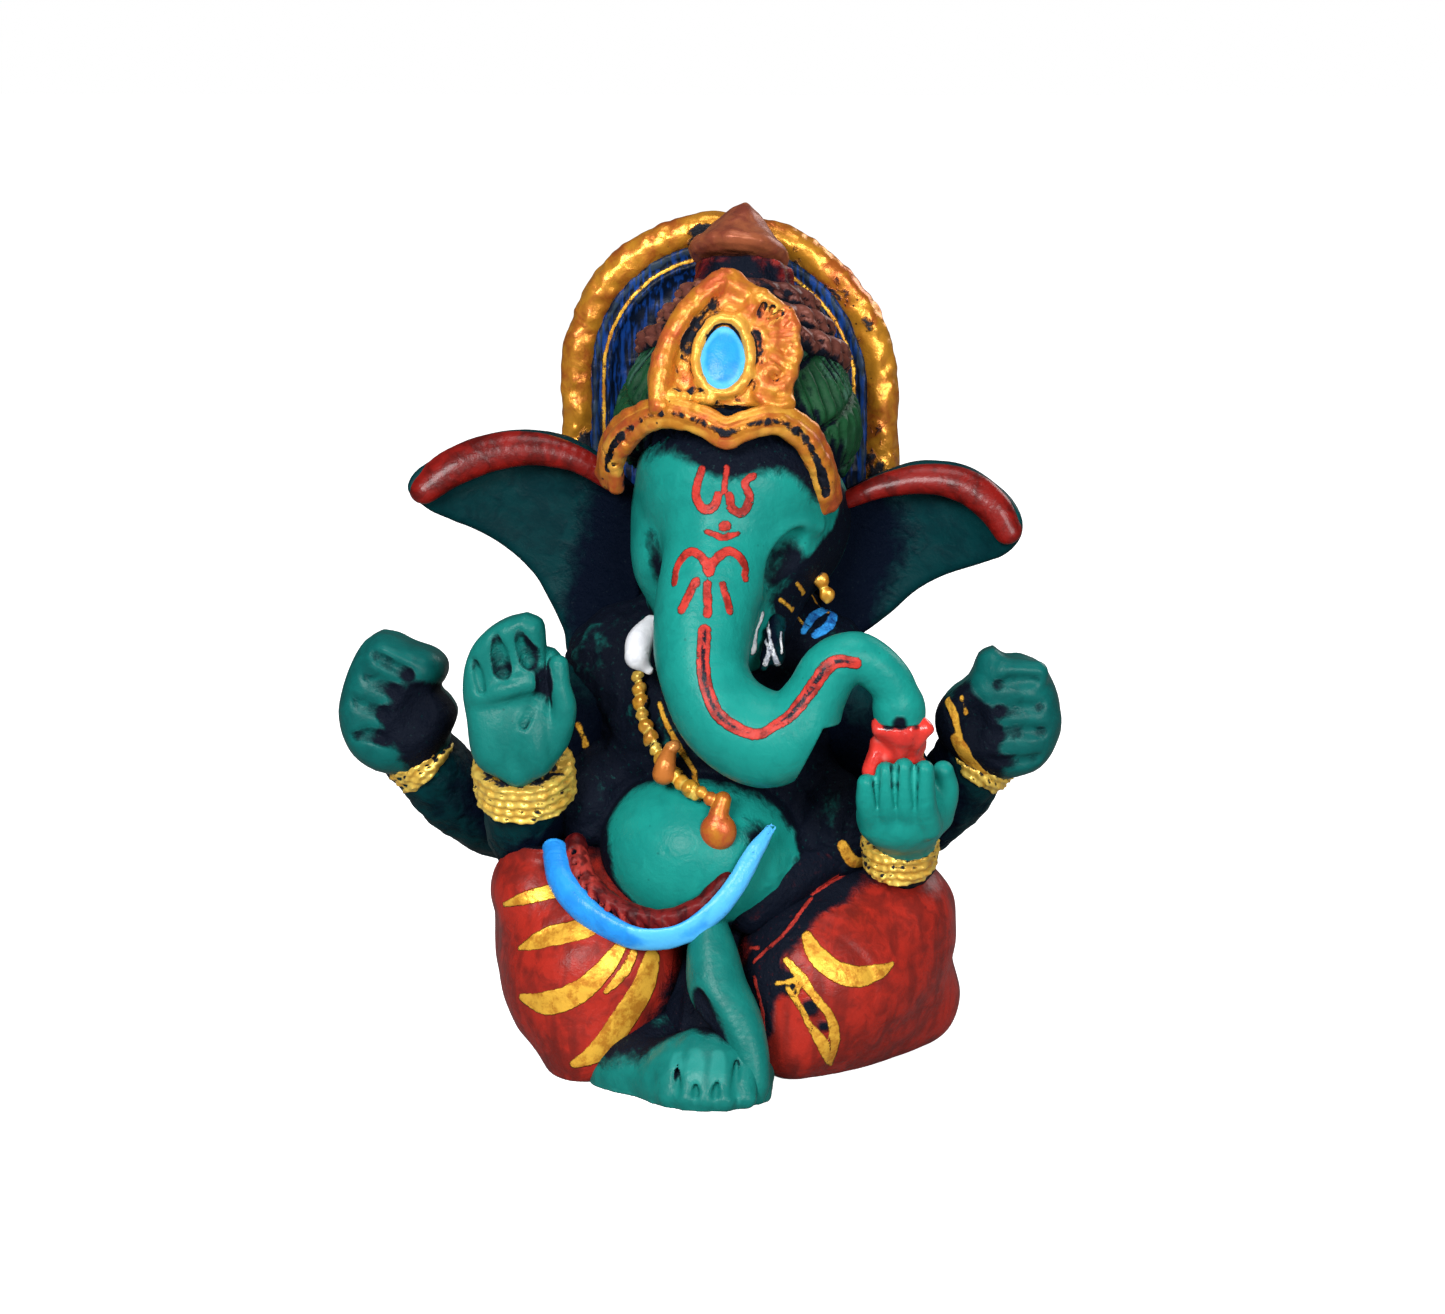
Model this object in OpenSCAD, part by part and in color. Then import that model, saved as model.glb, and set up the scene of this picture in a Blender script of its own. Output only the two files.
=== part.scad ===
// Seated four-armed elephant-headed devotional figurine, front towards -Y, resting on its flat base.
// Each sculpted element is a closed solid of its own, cut back so that neighbours meet face to face.

/* [Halo] */
// Radius of the halo's arch, to the middle of its rim
halo_r = 15.1; // [14:0.1:15.6]
// Radius of the halo's round rim
halo_rim_r = 1.8; // [1.5:0.1:2.1]
// Thickness of the plate inside the rim
halo_plate_t = 2.6; // [2:0.1:3.2]
// Height of the arch's centre above the base
halo_centre_z = 64.6; // [63:0.1:65]

/* [Crown] */
// Radius of the crown's leaf tier at its widest
crown_r = 12.2; // [11.6:0.1:12.6]
// Angle by which the crown leans back
crown_lean = 18; // [14:1:20]
// Radius of the rolled rope rings above the leaf tier
rope_r = 1.5; // [1.2:0.1:1.7]
// Height of the pointed finial
finial_h = 5.6; // [5:0.1:6.4]
// Radius of the finial at its overhanging rim
finial_r = 5.1; // [4.8:0.1:5.6]

/* [Head] */
// Half width of the head at the eyes
head_r = 10.4; // [9.8:0.1:11]
// Angle by which the head tilts towards its own left shoulder
head_tilt = 3; // [0:1:5]
// Radius of the trunk where it leaves the face
trunk_root_r = 5.3; // [4.8:0.1:5.6]
// Radius of the trunk at its tip
trunk_tip_r = 2.1; // [1.8:0.1:2.4]
// Half thickness of the ears
ear_r = 1.1; // [0.9:0.1:1.4]
// Radius of the rolled rim along the top of each ear
ear_rim_r = 1.7; // [1.4:0.1:2]

/* [Body] */
// Radius of the round belly
belly_r = 9.6; // [9:0.1:10.2]
// Radius of the painted sash under the belly
sash_r = 1.2; // [0.9:0.1:1.5]
// Radius of the rolled cloth between the sash and the belly
cloth_r = 1.3; // [1.0:0.1:1.6]
// Radius of each bead of the necklace
bead_r = 0.8; // [0.6:0.05:0.95]

/* [Limbs] */
// Radius of the arms at the wrist
wrist_r = 2.8; // [2.4:0.1:3.2]
// Radius of a finger
finger_r = 1.3; // [1.1:0.05:1.5]
// Radius of the cord that each bracelet is rolled from
bracelet_r = 1.1; // [0.8:0.1:1.4]
// Radius of the knees under the cloth
knee_r = 7.9; // [7.4:0.1:8.3]

/* [Hidden] */
$fn = 14;
small_fn = 10;
bead_fn = 8;
rim_fn = 14;
round_fn = 32;

skin = "#1f8a76";
wash = "#0d1b22";
gold = "#c9962a";
copper = "#9c5a3c";
cloth_red = "#a3211c";

// Halo: the plate stands behind the crown, and its legs run down behind the ears.
halo_x = 1.0;
halo_y = 11.6;
halo_foot_z = 42;

// Crown: a frame at the top of the head, leaning back, and the heights of its tiers in it.
crown_foot = [2.2, -1.5, 57.5];
leaf_h = 10.5;
rope_heights = [11.4, 13.9, 16.2];
rope_radii = [9.0, 7.3, 5.6];
neck_h = 20;
neck_r = 4.5;
neck_side = -1;
finial_foot = [2.1, 4.6, 76.8];
finial_lean = 24;
finial_roll = 5;

// Plaque on the front of the crown, the stone in it, and the band below it.
plaque_middle = [1.9, -11.8, 68.5];
plaque_t = 6;
plaque_lean = 22;
plaque_r = 6.8;
plaque_h = 9.4;
plaque_foot = 4.4;
gem_r = 2.1;
gem_h = 5.2;
gem_depth = 0.6;
gem_up = 0.6;
diadem_line = [
    [-9.6, -5.6, 56.8], [-8.4, -8.6, 60.4], [-4.4, -12.2, 63.8], [2.4, -14.2, 62.4],
    [8.2, -12.0, 63.0], [10.8, -9.2, 58.8], [11.5, -6.8, 54.9]
];

// Head: its pivot, centre, and the line of the trunk from the brow to the tip.
neck_pivot = [1, 0, 42];
head_centre = [2.4, -0.5, 52];
trunk_line = [
    [1.6, -8.0, 50.5], [0.6, -12.2, 46.5], [0.2, -14.4, 42.7], [0.6, -16.2, 39.6],
    [2.6, -17.4, 36.2], [6.3, -18.0, 34.2], [9.3, -18.4, 35.4], [11.0, -18.6, 38.2],
    [12.4, -18.6, 40.8], [14.4, -18.5, 42.1], [16.3, -18.3, 41.5], [17.9, -18.1, 40.0],
    [18.8, -17.8, 37.4]
];
trunk_radii = [
    trunk_root_r + 0.2, trunk_root_r - 0.3, trunk_root_r - 0.7, trunk_root_r - 1.1,
    trunk_root_r - 0.9, trunk_root_r - 0.7, 3.8, 2.9, 2.7, 2.5, 2.3, trunk_tip_r, trunk_tip_r + 0.1
];

// Ears: the outline from the root's top, round the tip and the lobe, to the root's bottom.
left_ear_outline = [
    [-9.5, 0.6, 56.2], [-14.4, 0.2, 58.6], [-20.6, -0.4, 59.0], [-27.4, -1.8, 56.0],
    [-23.0, -0.6, 51.6], [-18.4, 1.0, 48.0], [-15.8, 2.6, 39.6], [-7.5, 3.0, 42.0]
];
left_ear_middle = [-15.4, 3.4, 50.8];
left_rim_line = [
    [-9.6, -0.6, 55.6], [-13.0, -0.7, 57.9], [-17.4, -0.6, 59.0], [-21.8, -1.0, 58.6],
    [-25.6, -1.7, 57.1], [-28.0, -2.4, 55.3]
];
right_ear_outline = [
    [13.4, 0.8, 54.4], [19.4, 0.2, 56.4], [25.4, -0.8, 55.6], [28.4, -1.8, 52.0],
    [23.4, -0.2, 48.4], [18.8, 1.2, 45.4], [14.8, 2.8, 41.6], [9.5, 3.0, 42.0]
];
right_ear_middle = [17.4, 3.4, 50.2];
right_rim_line = [
    [13.2, -0.6, 54.4], [16.4, -0.7, 55.7], [20.2, -0.8, 56.5], [24.2, -1.2, 56.0],
    [27.1, -1.8, 54.1], [28.6, -2.2, 51.8]
];

left_tusk_ends = [[-5.2, -9.4, 43.2], [-6.2, -11.8, 40.0]];
right_tusk_ends = [[6.9, -9.6, 43.0], [6.8, -11.4, 40.6]];

// Body: chest, hips and belly.
shoulders = [[-8.3, 1.5, 37], [9.3, 1.5, 37]];
chest = [0.5, -2.2, 33];
waist = [[-3.8, 1.8, 26], [4.8, 1.8, 26]];
hips = [[-7.5, 2.5, 11], [8.5, 2.5, 11]];
hip_r = 9.2;
belly_centre = [-0.7, -7.2, 21.2];

// Necklace: beads hang beside the trunk, down to the pendant, and beside the right cheek.
left_bead_line = [
    [-6.6, -7.6, 38.0], [-6.0, -9.2, 34.6], [-4.6, -10.4, 31.4], [-2.6, -12.4, 29.2],
    [0.2, -14.0, 27.8]
];
right_bead_line = [[10.9, -5.4, 47.6], [11.6, -5.6, 44.0]];
pendant_top = [2.4, -14.4, 27.2];
drop_top = [-3.4, -12.6, 32.2];

sash_line = [
    [-14.3, -11.0, 21.5], [-12.6, -14.2, 18.2], [-8.9, -16.4, 15.6], [-5.5, -17.4, 14.5],
    [-1.6, -17.6, 15.0], [1.8, -17.1, 17.6], [5.0, -15.6, 22.0], [6.8, -14.0, 24.8]
];
cloth_line = [
    [-12.4, -10.8, 22.0], [-11.4, -13.4, 19.6], [-9.4, -15.2, 17.8], [-6.8, -16.2, 16.6],
    [-3.4, -16.8, 16.2], [0.0, -16.6, 17.4], [2.6, -15.8, 20.0]
];

// Limbs: shoulder, elbow and wrist of each arm, and the hands on the wrists.
arm_rear_left = [[-9.5, 6.2, 32.5], [-20.2, 6.2, 20.0], [-29.2, 0.8, 27.4]];
arm_rear_right = [[10.5, 6.2, 32.5], [18.2, 6.2, 20.4], [26.2, 0.8, 28.4]];
arm_front_left = [[-12.6, -0.4, 34.0], [-18.2, -4.0, 21.2], [-17.5, -9.8, 27.0]];
arm_front_right = [[13.6, -0.4, 34.0], [18.8, -4.6, 20.2], [19.0, -9.2, 22.2]];
fist_rear_left = [-31.5, -0.9, 33.5];
fist_rear_right = [28.0, -0.9, 33.4];
palm_centre = [-17.4, -13.6, 33.7];
sweet_hand_centre = [19.3, -13.8, 27.2];
// Bracelets: the middle of each one, and the way its axis points.
rear_left_cuff = [[-29.3, 0.3, 27.6], [-0.7, -0.15, 0.7]];
rear_right_cuff = [[26.5, 0.4, 28.9], [0.62, -0.15, 0.75]];
front_left_cuff = [[-17.4, -10.0, 28.2], [0, -0.45, 0.89]];
front_right_cuff = [[18.8, -9.6, 21.9], [0, -0.35, 0.94]];
upper_arm_r = 4.4;
elbow_r = 4.1;
cuff_r = wrist_r + 0.25;

leg_left = [[-8.5, 2.5, 9.5], [-13.4, -4.0, 12.8], [-10.6, -10.4, 9.2], [-10.4, -12.4, 4.8]];
leg_right = [[9.0, 2.5, 9.5], [16.2, -3.0, 10.8], [12.6, -9.0, 8.6], [9.6, -12.2, 6.0]];
shin_line = [[1.6, -16.0, 13.6], [2.4, -17.6, 9.8], [4.2, -19.8, 6.2], [5.4, -21.2, 2.4]];
foot_line = [[-0.1, -19.4, 1.1], [3.2, -19.3, 1.1]];
heel_line = [[-2.4, -12.1, 3.3], [-6.1, -15.3, 1.2]];
toe_xs = [-2.2, -0.4, 1.4, 3.2, 5.0];
toe_r = 1.1;

// A ball at a point; a small one is drawn with fewer sides.
module ball(p, r) {
    translate(p) sphere(r, $fn = r < 2 ? small_fn : $fn);
}

// A round limb through a list of points, with a radius at each point.
module limb(points, radii) {
    for (i = [0 : len(points) - 2])
        hull() {
            ball(points[i], radii[i]);
            ball(points[i + 1], radii[i + 1]);
        }
}

// A radius that swells in the middle of a line and runs out thin at both ends.
function swelling(points, r, end_r) =
    [for (i = [0 : len(points) - 1]) end_r + (r - end_r) * sin(180 * i / (len(points) - 1))];

// Keeps what stands above the flat base.
module above_base() {
    difference() {
        children();
        translate([-60, -60, -30]) cube([120, 120, 30]);
    }
}

module tilted() {
    translate(neck_pivot) rotate([0, head_tilt, 0]) translate(-neck_pivot) children();
}

module in_crown() {
    translate(crown_foot) rotate([-crown_lean, head_tilt, 0]) children();
}

// A torus about +Z.
module ring(r, cord_r) {
    rotate_extrude($fn = round_fn) translate([r, 0]) circle(cord_r, $fn = bead_fn);
}

// Points a shape's +Z from one point towards another, at a place between them.
module aimed(from, to, along = 0.5) {
    d = to - from;
    translate(from + along * d)
        rotate([0, acos(d.z / norm(d)), atan2(d.y, d.x)])
            children();
}

// ---- Halo ----

module halo_outline(r) {
    translate([0, halo_centre_z]) circle(r, $fn = 2 * round_fn);
    translate([-r, halo_foot_z]) square([2 * r, halo_centre_z - halo_foot_z]);
}

module halo_rim_shape() {
    translate([halo_x, halo_y, halo_centre_z])
        rotate([90, 0, 0])
            rotate_extrude(angle = 180, $fn = 2 * round_fn)
                translate([halo_r, 0]) circle(halo_rim_r, $fn = rim_fn);
    for (side = [-1, 1])
        translate([halo_x + side * halo_r, halo_y, halo_foot_z])
            cylinder(h = halo_centre_z - halo_foot_z, r = halo_rim_r, $fn = rim_fn);
}

module halo_plate_shape() {
    translate([halo_x, halo_y + halo_plate_t / 2, 0])
        rotate([90, 0, 0])
            linear_extrude(halo_plate_t) halo_outline(halo_r);
}

// ---- Crown ----

module leaf_tier_shape() {
    in_crown()
        rotate_extrude($fn = round_fn)
            polygon([
                [0, 0], [crown_r - 1.6, 0], [crown_r - 0.4, 2], [crown_r, 4.5],
                [crown_r - 0.7, 7.5], [crown_r - 2.4, leaf_h], [0, leaf_h]
            ]);
}

module rope_shape(i) {
    in_crown()
        translate([0, 0, rope_heights[i]])
            rotate_extrude($fn = round_fn) {
                translate([rope_radii[i], 0]) circle(rope_r, $fn = small_fn);
                translate([0, -rope_r]) square([rope_radii[i], 2 * rope_r]);
            }
}

module neck_shape() {
    in_crown()
        translate([neck_side, 0, rope_heights[2]])
            cylinder(h = neck_h - rope_heights[2], r1 = neck_r + 0.6, r2 = neck_r, $fn = round_fn);
}

// The finial leans back further than the tiers below it.
module finial_shape() {
    translate(finial_foot)
        rotate([-finial_lean, finial_roll, 0])
            rotate_extrude($fn = round_fn)
                polygon([
                    [0, -0.6], [finial_r - 0.8, -0.6], [finial_r, 0.1], [finial_r - 0.3, 0.8],
                    [finial_r * 0.78, finial_h * 0.29], [finial_r * 0.45, finial_h * 0.66],
                    [finial_r * 0.16, finial_h * 0.94], [0.3, finial_h], [0, finial_h]
                ]);
}

module plaque_outline() {
    hull() {
        circle(plaque_r, $fn = 28);
        translate([0, plaque_h - 1]) circle(1, $fn = small_fn);
    }
    translate([-plaque_r, -plaque_foot]) square([2 * plaque_r, plaque_foot]);
}

module on_plaque() {
    translate(plaque_middle) rotate([90 - plaque_lean, 0, 0]) children();
}

module plaque_shape() {
    on_plaque() translate([0, 0, -plaque_t]) linear_extrude(plaque_t) plaque_outline();
}

// An almond-shaped stone, set flat in the plaque.
module gem_shape() {
    on_plaque()
        translate([0, gem_up, -gem_depth])
            hull() {
                scale([1, 1, 0.6]) sphere(gem_r, $fn = 16);
                for (end = [-1, 1])
                    translate([0, end * gem_h / 2, 0]) ball([0, 0, 0], gem_depth);
            }
}

// The band arches over each side of the forehead, dips in the middle, and ends at the ears.
module diadem_shape() {
    limb(diadem_line, swelling(diadem_line, 1.5, 1.3));
}

// ---- Head ----

module head_shape() {
    tilted() {
        hull() {
            ball(head_centre + [0, 1.5, 1], head_r - 0.6);
            ball(head_centre + [-1.2, -1.5, -1], head_r - 1.6);
            ball(head_centre + [1.2, -1.5, -1], head_r - 1.6);
        }
        hull() {
            ball(head_centre + [-0.6, -7.2, 4.6], 5.0);
            ball(head_centre + [0, -1, 0], head_r - 2);
        }
        limb([head_centre + [-6, -6, -5], head_centre + [5.4, -6, -5]], [4.2, 4.2]);
        limb([head_centre + [-5, 2, -2], head_centre + [-3, 2, -10]], [6, 6]);
        limb([head_centre + [5, 2, -2], head_centre + [3, 2, -10]], [6, 6]);
    }
}

module trunk_shape() {
    limb(trunk_line, trunk_radii);
}

module ear_shape(outline, middle) {
    count = len(outline);
    for (i = [0 : count - 1])
        hull() {
            ball(outline[i], ear_r);
            ball(outline[(i + 1) % count], ear_r);
            ball(middle, ear_r + 0.2);
        }
}

module left_ear_shape() {
    ear_shape(left_ear_outline, left_ear_middle);
}

module right_ear_shape() {
    ear_shape(right_ear_outline, right_ear_middle);
}

// The rim is thin at the root and swells towards the tip.
module ear_rim_shape(line) {
    r = ear_rim_r;
    limb(line, [r - 0.4, r - 0.2, r, r + 0.1, r + 0.1, r - 0.2]);
}

module left_ear_rim_shape() {
    ear_rim_shape(left_rim_line);
}

module right_ear_rim_shape() {
    ear_rim_shape(right_rim_line);
}

module tusk_shape(root, tip) {
    limb([root, (root + tip) / 2, tip], [1.5, 1.3, 0.8]);
}

// ---- Body ----

module torso_shape() {
    above_base() {
        hull() {
            ball(shoulders[0], 6.6);
            ball(shoulders[1], 6.6);
            ball(shoulders[0] + [4, 3.5, 3], 6);
            ball(shoulders[1] + [-3, 3.5, 3], 6);
            ball(chest, 8.6);
            ball(waist[0], 8.6);
            ball(waist[1], 8.6);
        }
        hull() {
            ball(waist[0], 8.6);
            ball(waist[1], 8.6);
            ball(hips[0], 7.6);
            ball(hips[1], 7.6);
        }
        limb([belly_centre + [0.6, 3, 1], belly_centre], [belly_r, belly_r]);
        limb([[1, 1, 40], [1.5, 1, 45]], [8, 7]);
    }
}

// The cloth wrapped round the hips, on which the figure sits, with its folds between the legs.
module hip_cloth_shape() {
    above_base() {
        hull() {
            ball(hips[0], hip_r);
            ball(hips[1], hip_r);
            ball([hips[0].x - 0.6, 1.5, 3], 8.4);
            ball([hips[1].x + 0.6, 1.5, 3], 8.4);
        }
        limb([[1, -3, 9], [1, -11.5, 4.6]], [8.4, 5.4]);
        limb([[1, 2, 1], [1, -12, 1]], [7, 5.4]);
    }
}

module bead_string(points) {
    for (i = [0 : len(points) - 2]) {
        span = points[i + 1] - points[i];
        beads = floor(norm(span) / (2.15 * bead_r));
        for (k = [0 : beads - 1])
            translate(points[i] + span * k / beads) sphere(bead_r, $fn = bead_fn);
    }
}

module drop_shape(top, length, r) {
    hull() {
        ball(top, r * 0.5);
        ball(top + [0, -0.4, -length], r);
    }
}

module sash_shape() {
    limb(sash_line, swelling(sash_line, sash_r, sash_r * 0.8));
}

module waist_cloth_shape() {
    limb(cloth_line, swelling(cloth_line, cloth_r, cloth_r * 0.7));
}

// ---- Limbs ----

// The knee is raised at the outside, where the forearm rests on it.
module left_leg_shape() {
    above_base() {
        limb(leg_left, [8.6, knee_r, knee_r - 0.4, 5.6]);
        limb([[-16.0, -7.0, 16.2], [-15.8, -9.0, 20.4]], [4.8, 2.4]);
        limb([[-9, 2, 1], [-10.2, -10, 1]], [6.5, 5.2]);
    }
}

module right_leg_shape() {
    above_base() {
        limb(leg_right, [8.6, knee_r, knee_r, 6.0]);
        limb([[18.2, -2.5, 13.4], [19.2, -0.6, 5.0]], [5.6, 5.2]);
        limb([[11, 2, 1], [13.8, -6.4, 4.4]], [8, 5.4]);
    }
}

module shin_shape() {
    limb(shin_line, [2.1, 2.6, 2.4, 1.5]);
}

module foot_shape() {
    above_base() {
        limb(foot_line, [3.9, 3.9]);
        limb(heel_line, [3.3, 3.9]);
        for (x = toe_xs)
            limb([[x, -21.6, 1.9], [x, -23.7, 1.2]], [toe_r, toe_r]);
    }
}

module arm_shape(p) {
    limb(p, [upper_arm_r, elbow_r, wrist_r]);
}

// A closed fist: the palm and four curled fingers lying across it, thumb towards the body.
module fist_shape(centre, wrist, side) {
    hull() {
        ball(centre + [side * 1.4, -0.6, 2.4], 3.9);
        ball(centre + [side * 0.6, -0.6, -2.6], 4.0);
        ball(centre + [side * -1.8, -0.6, 0.6], 3.6);
        ball(wrist, cuff_r);
    }
    for (i = [0 : 3])
        limb(
            [centre + [side * 3.6, -2.0, 5.0 - 2.7 * i], centre + [side * -0.6, -3.2, 4.4 - 2.6 * i]],
            [finger_r, finger_r]
        );
    limb([centre + [side * -3.6, -1.6, -2.0], centre + [side * -3.4, -2.4, 2.6]], [1.8, 1.5]);
}

// An open hand held up, fingers together, thumb at the side.
module open_palm_shape() {
    c = palm_centre;
    hull() {
        ball(c + [-1.6, 0.4, -1.3], 3.1);
        ball(c + [1.7, 0.3, -1.5], 2.8);
        ball(c + [-2.7, 0.3, 4.2], 2.2);
        ball(c + [1.5, 0.2, 4.0], 2.1);
        ball(arm_front_left[2], cuff_r);
    }
    tips = [[-3.9, 6.6], [-2.2, 8.8], [-0.2, 9.8], [1.6, 10.0]];
    for (t = tips)
        limb([c + [t.x * 0.85, -0.6, 3.1], c + [t.x, -0.9, t.y]], [finger_r + 0.1, finger_r * 0.9]);
    limb([c + [3.0, -0.1, -2.5], c + [4.2, -1.3, 5.2]], [1.7, 1.15]);
}

// A hand that cups a sweet under the tip of the trunk, with its fingers to the front.
module sweet_hand_shape() {
    c = sweet_hand_centre;
    hull() {
        ball(c + [-0.6, 0.2, -0.4], 3.7);
        ball(c + [0.6, 0.4, 0.6], 3.7);
        ball(arm_front_right[2], cuff_r);
    }
    tips = [[-3.4, 3.0], [-1.7, 4.2], [0, 4.6], [1.8, 4.4]];
    for (t = tips)
        limb(
            [c + [t.x + 0.4, -2.0, -1.6], c + [t.x, -3.9, 1.2], c + [t.x, -4.5, t.y]],
            [finger_r, finger_r - 0.1, finger_r - 0.3]
        );
    limb([c + [3.3, 0.6, -1.2], c + [3.9, -0.4, 1.4], c + [3.6, -1.2, 3.6]], [1.3, 1.2, 1.0]);
}

// A wide band round a wrist: its centre, the way its axis points, and its radius.
module bracelet_shape(centre, axis, r) {
    aimed(centre, centre + axis, 0) scale([1, 1, 1.4]) ring(r, bracelet_r);
}

module rear_left_bracelet_shape() {
    bracelet_shape(rear_left_cuff[0], rear_left_cuff[1], wrist_r + 0.3);
}

module rear_right_bracelet_shape() {
    bracelet_shape(rear_right_cuff[0], rear_right_cuff[1], wrist_r + 0.3);
}

module front_left_bracelet_shape() {
    bracelet_shape(front_left_cuff[0], front_left_cuff[1], wrist_r + 1.1);
}

module front_right_bracelet_shape() {
    bracelet_shape(front_right_cuff[0], front_right_cuff[1], wrist_r + 0.5);
}

module sweet_shape() {
    limb([[19, -15, 29.6], [19.1, -15.9, 33], [19.2, -17.4, 35.2]], [2.5, 2.1, 2.2]);
    limb([[17.2, -18.4, 35.5], [21, -18.2, 35.5]], [1, 1]);
}

// ---- The pieces as they meet: each one keeps clear of the pieces that it carries ----

module halo_rim() {
    color(gold) halo_rim_shape();
}

module halo_plate() {
    color(wash) difference() {
        halo_plate_shape();
        halo_rim_shape();
    }
}

module crown_leaf_tier() {
    color("darkgreen") difference() {
        leaf_tier_shape();
        halo_plate_shape();
        diadem_shape();
    }
}

module crown_rope(i) {
    color(copper) difference() {
        rope_shape(i);
        halo_plate_shape();
        leaf_tier_shape();
        if (i > 0) rope_shape(i - 1);
    }
}

module crown_lower_rope() {
    crown_rope(0);
}

module crown_middle_rope() {
    crown_rope(1);
}

module crown_upper_rope() {
    crown_rope(2);
}

module crown_neck() {
    color("darkred") difference() {
        neck_shape();
        halo_plate_shape();
        rope_shape(2);
        finial_shape();
        plaque_shape();
    }
}

module crown_finial() {
    color(copper) finial_shape();
}

module crown_plaque() {
    color(gold) difference() {
        plaque_shape();
        gem_shape();
        diadem_shape();
        leaf_tier_shape();
        for (i = [0 : 2]) rope_shape(i);
    }
}

module crown_gem() {
    color("dodgerblue") gem_shape();
}

module diadem_band() {
    color(gold) diadem_shape();
}

module head() {
    color(skin) difference() {
        head_shape();
        trunk_shape();
        leaf_tier_shape();
        diadem_shape();
        plaque_shape();
        halo_plate_shape();
        left_ear_shape();
        right_ear_shape();
        left_ear_rim_shape();
        right_ear_rim_shape();
        left_tusk();
        right_tusk();
    }
}

module trunk() {
    color(skin) difference() {
        trunk_shape();
        sweet_shape();
    }
}

module left_ear() {
    color(skin) difference() {
        left_ear_shape();
        left_ear_rim_shape();
        halo_rim_shape();
        halo_plate_shape();
    }
}

module right_ear() {
    color(skin) difference() {
        right_ear_shape();
        right_ear_rim_shape();
        halo_rim_shape();
        halo_plate_shape();
    }
}

module left_ear_rim() {
    color(cloth_red) left_ear_rim_shape();
}

module right_ear_rim() {
    color(cloth_red) right_ear_rim_shape();
}

module tusk(ends) {
    color("ivory") difference() {
        tusk_shape(ends[0], ends[1]);
        trunk_shape();
    }
}

module left_tusk() {
    tusk(left_tusk_ends);
}

module right_tusk() {
    tusk(right_tusk_ends);
}

module torso() {
    color(skin) difference() {
        torso_shape();
        head_shape();
        trunk_shape();
        left_ear_shape();
        right_ear_shape();
        left_tusk();
        right_tusk();
        halo_plate_shape();
        halo_rim_shape();
        left_leg_shape();
        right_leg_shape();
        hip_cloth_shape();
        shin_shape();
        sash_shape();
        waist_cloth_shape();
        front_left_bracelet_shape();
        front_right_bracelet_shape();
        arm_shape(arm_rear_left);
        arm_shape(arm_rear_right);
        arm_shape(arm_front_left);
        arm_shape(arm_front_right);
        bead_string(left_bead_line);
        bead_string(right_bead_line);
        bead_drop_shape();
        pendant_shape();
    }
}

module hip_cloth() {
    color(cloth_red) difference() {
        hip_cloth_shape();
        left_leg_shape();
        right_leg_shape();
        shin_shape();
        foot_shape();
        sash_shape();
        waist_cloth_shape();
        arm_shape(arm_rear_left);
        arm_shape(arm_rear_right);
        arm_shape(arm_front_left);
        arm_shape(arm_front_right);
    }
}

module left_beads() {
    color(gold) bead_string(left_bead_line);
}

module right_beads() {
    color(gold) bead_string(right_bead_line);
}

module bead_drop_shape() {
    drop_shape(drop_top, 2.6, 1.2);
}

module bead_drop() {
    color(copper) difference() {
        bead_drop_shape();
        trunk_shape();
    }
}

module pendant_shape() {
    drop_shape(pendant_top, 3.2, 1.7);
}

module pendant() {
    color(gold) difference() {
        pendant_shape();
        trunk_shape();
    }
}

module sash() {
    color("dodgerblue") difference() {
        sash_shape();
        arm_shape(arm_front_left);
    }
}

module waist_cloth() {
    color("darkred") difference() {
        waist_cloth_shape();
        sash_shape();
        arm_shape(arm_front_left);
    }
}

module left_leg() {
    color(cloth_red) difference() {
        left_leg_shape();
        sash_shape();
        waist_cloth_shape();
        foot_shape();
        shin_shape();
        arm_shape(arm_front_left);
        arm_shape(arm_rear_left);
        front_left_bracelet_shape();
        open_palm_shape();
    }
}

module right_leg() {
    color(cloth_red) difference() {
        right_leg_shape();
        sash_shape();
        waist_cloth_shape();
        foot_shape();
        shin_shape();
        left_leg_shape();
        front_right_bracelet_shape();
        arm_shape(arm_front_right);
        arm_shape(arm_rear_right);
        sweet_hand_shape();
    }
}

module shin() {
    color(skin) difference() {
        shin_shape();
        foot_shape();
        sash_shape();
        waist_cloth_shape();
    }
}

module foot() {
    color(skin) foot_shape();
}

module rear_left_arm() {
    color(skin) difference() {
        arm_shape(arm_rear_left);
        arm_shape(arm_front_left);
        rear_left_bracelet_shape();
        fist_shape(fist_rear_left, arm_rear_left[2], -1);
    }
}

module rear_right_arm() {
    color(skin) difference() {
        arm_shape(arm_rear_right);
        arm_shape(arm_front_right);
        rear_right_bracelet_shape();
        fist_shape(fist_rear_right, arm_rear_right[2], 1);
    }
}

module front_left_arm() {
    color(skin) difference() {
        arm_shape(arm_front_left);
        front_left_bracelet_shape();
        open_palm_shape();
    }
}

module front_right_arm() {
    color(skin) difference() {
        arm_shape(arm_front_right);
        front_right_bracelet_shape();
        sweet_hand_shape();
        aimed(front_right_cuff[0], front_right_cuff[0] + front_right_cuff[1], 0)
            cylinder(h = 8, r = wrist_r + 1.6);
    }
}

module rear_left_fist() {
    color(skin) difference() {
        fist_shape(fist_rear_left, arm_rear_left[2], -1);
        rear_left_bracelet_shape();
    }
}

module rear_right_fist() {
    color(skin) difference() {
        fist_shape(fist_rear_right, arm_rear_right[2], 1);
        rear_right_bracelet_shape();
    }
}

module open_palm() {
    color(skin) difference() {
        open_palm_shape();
        front_left_bracelet_shape();
    }
}

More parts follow.
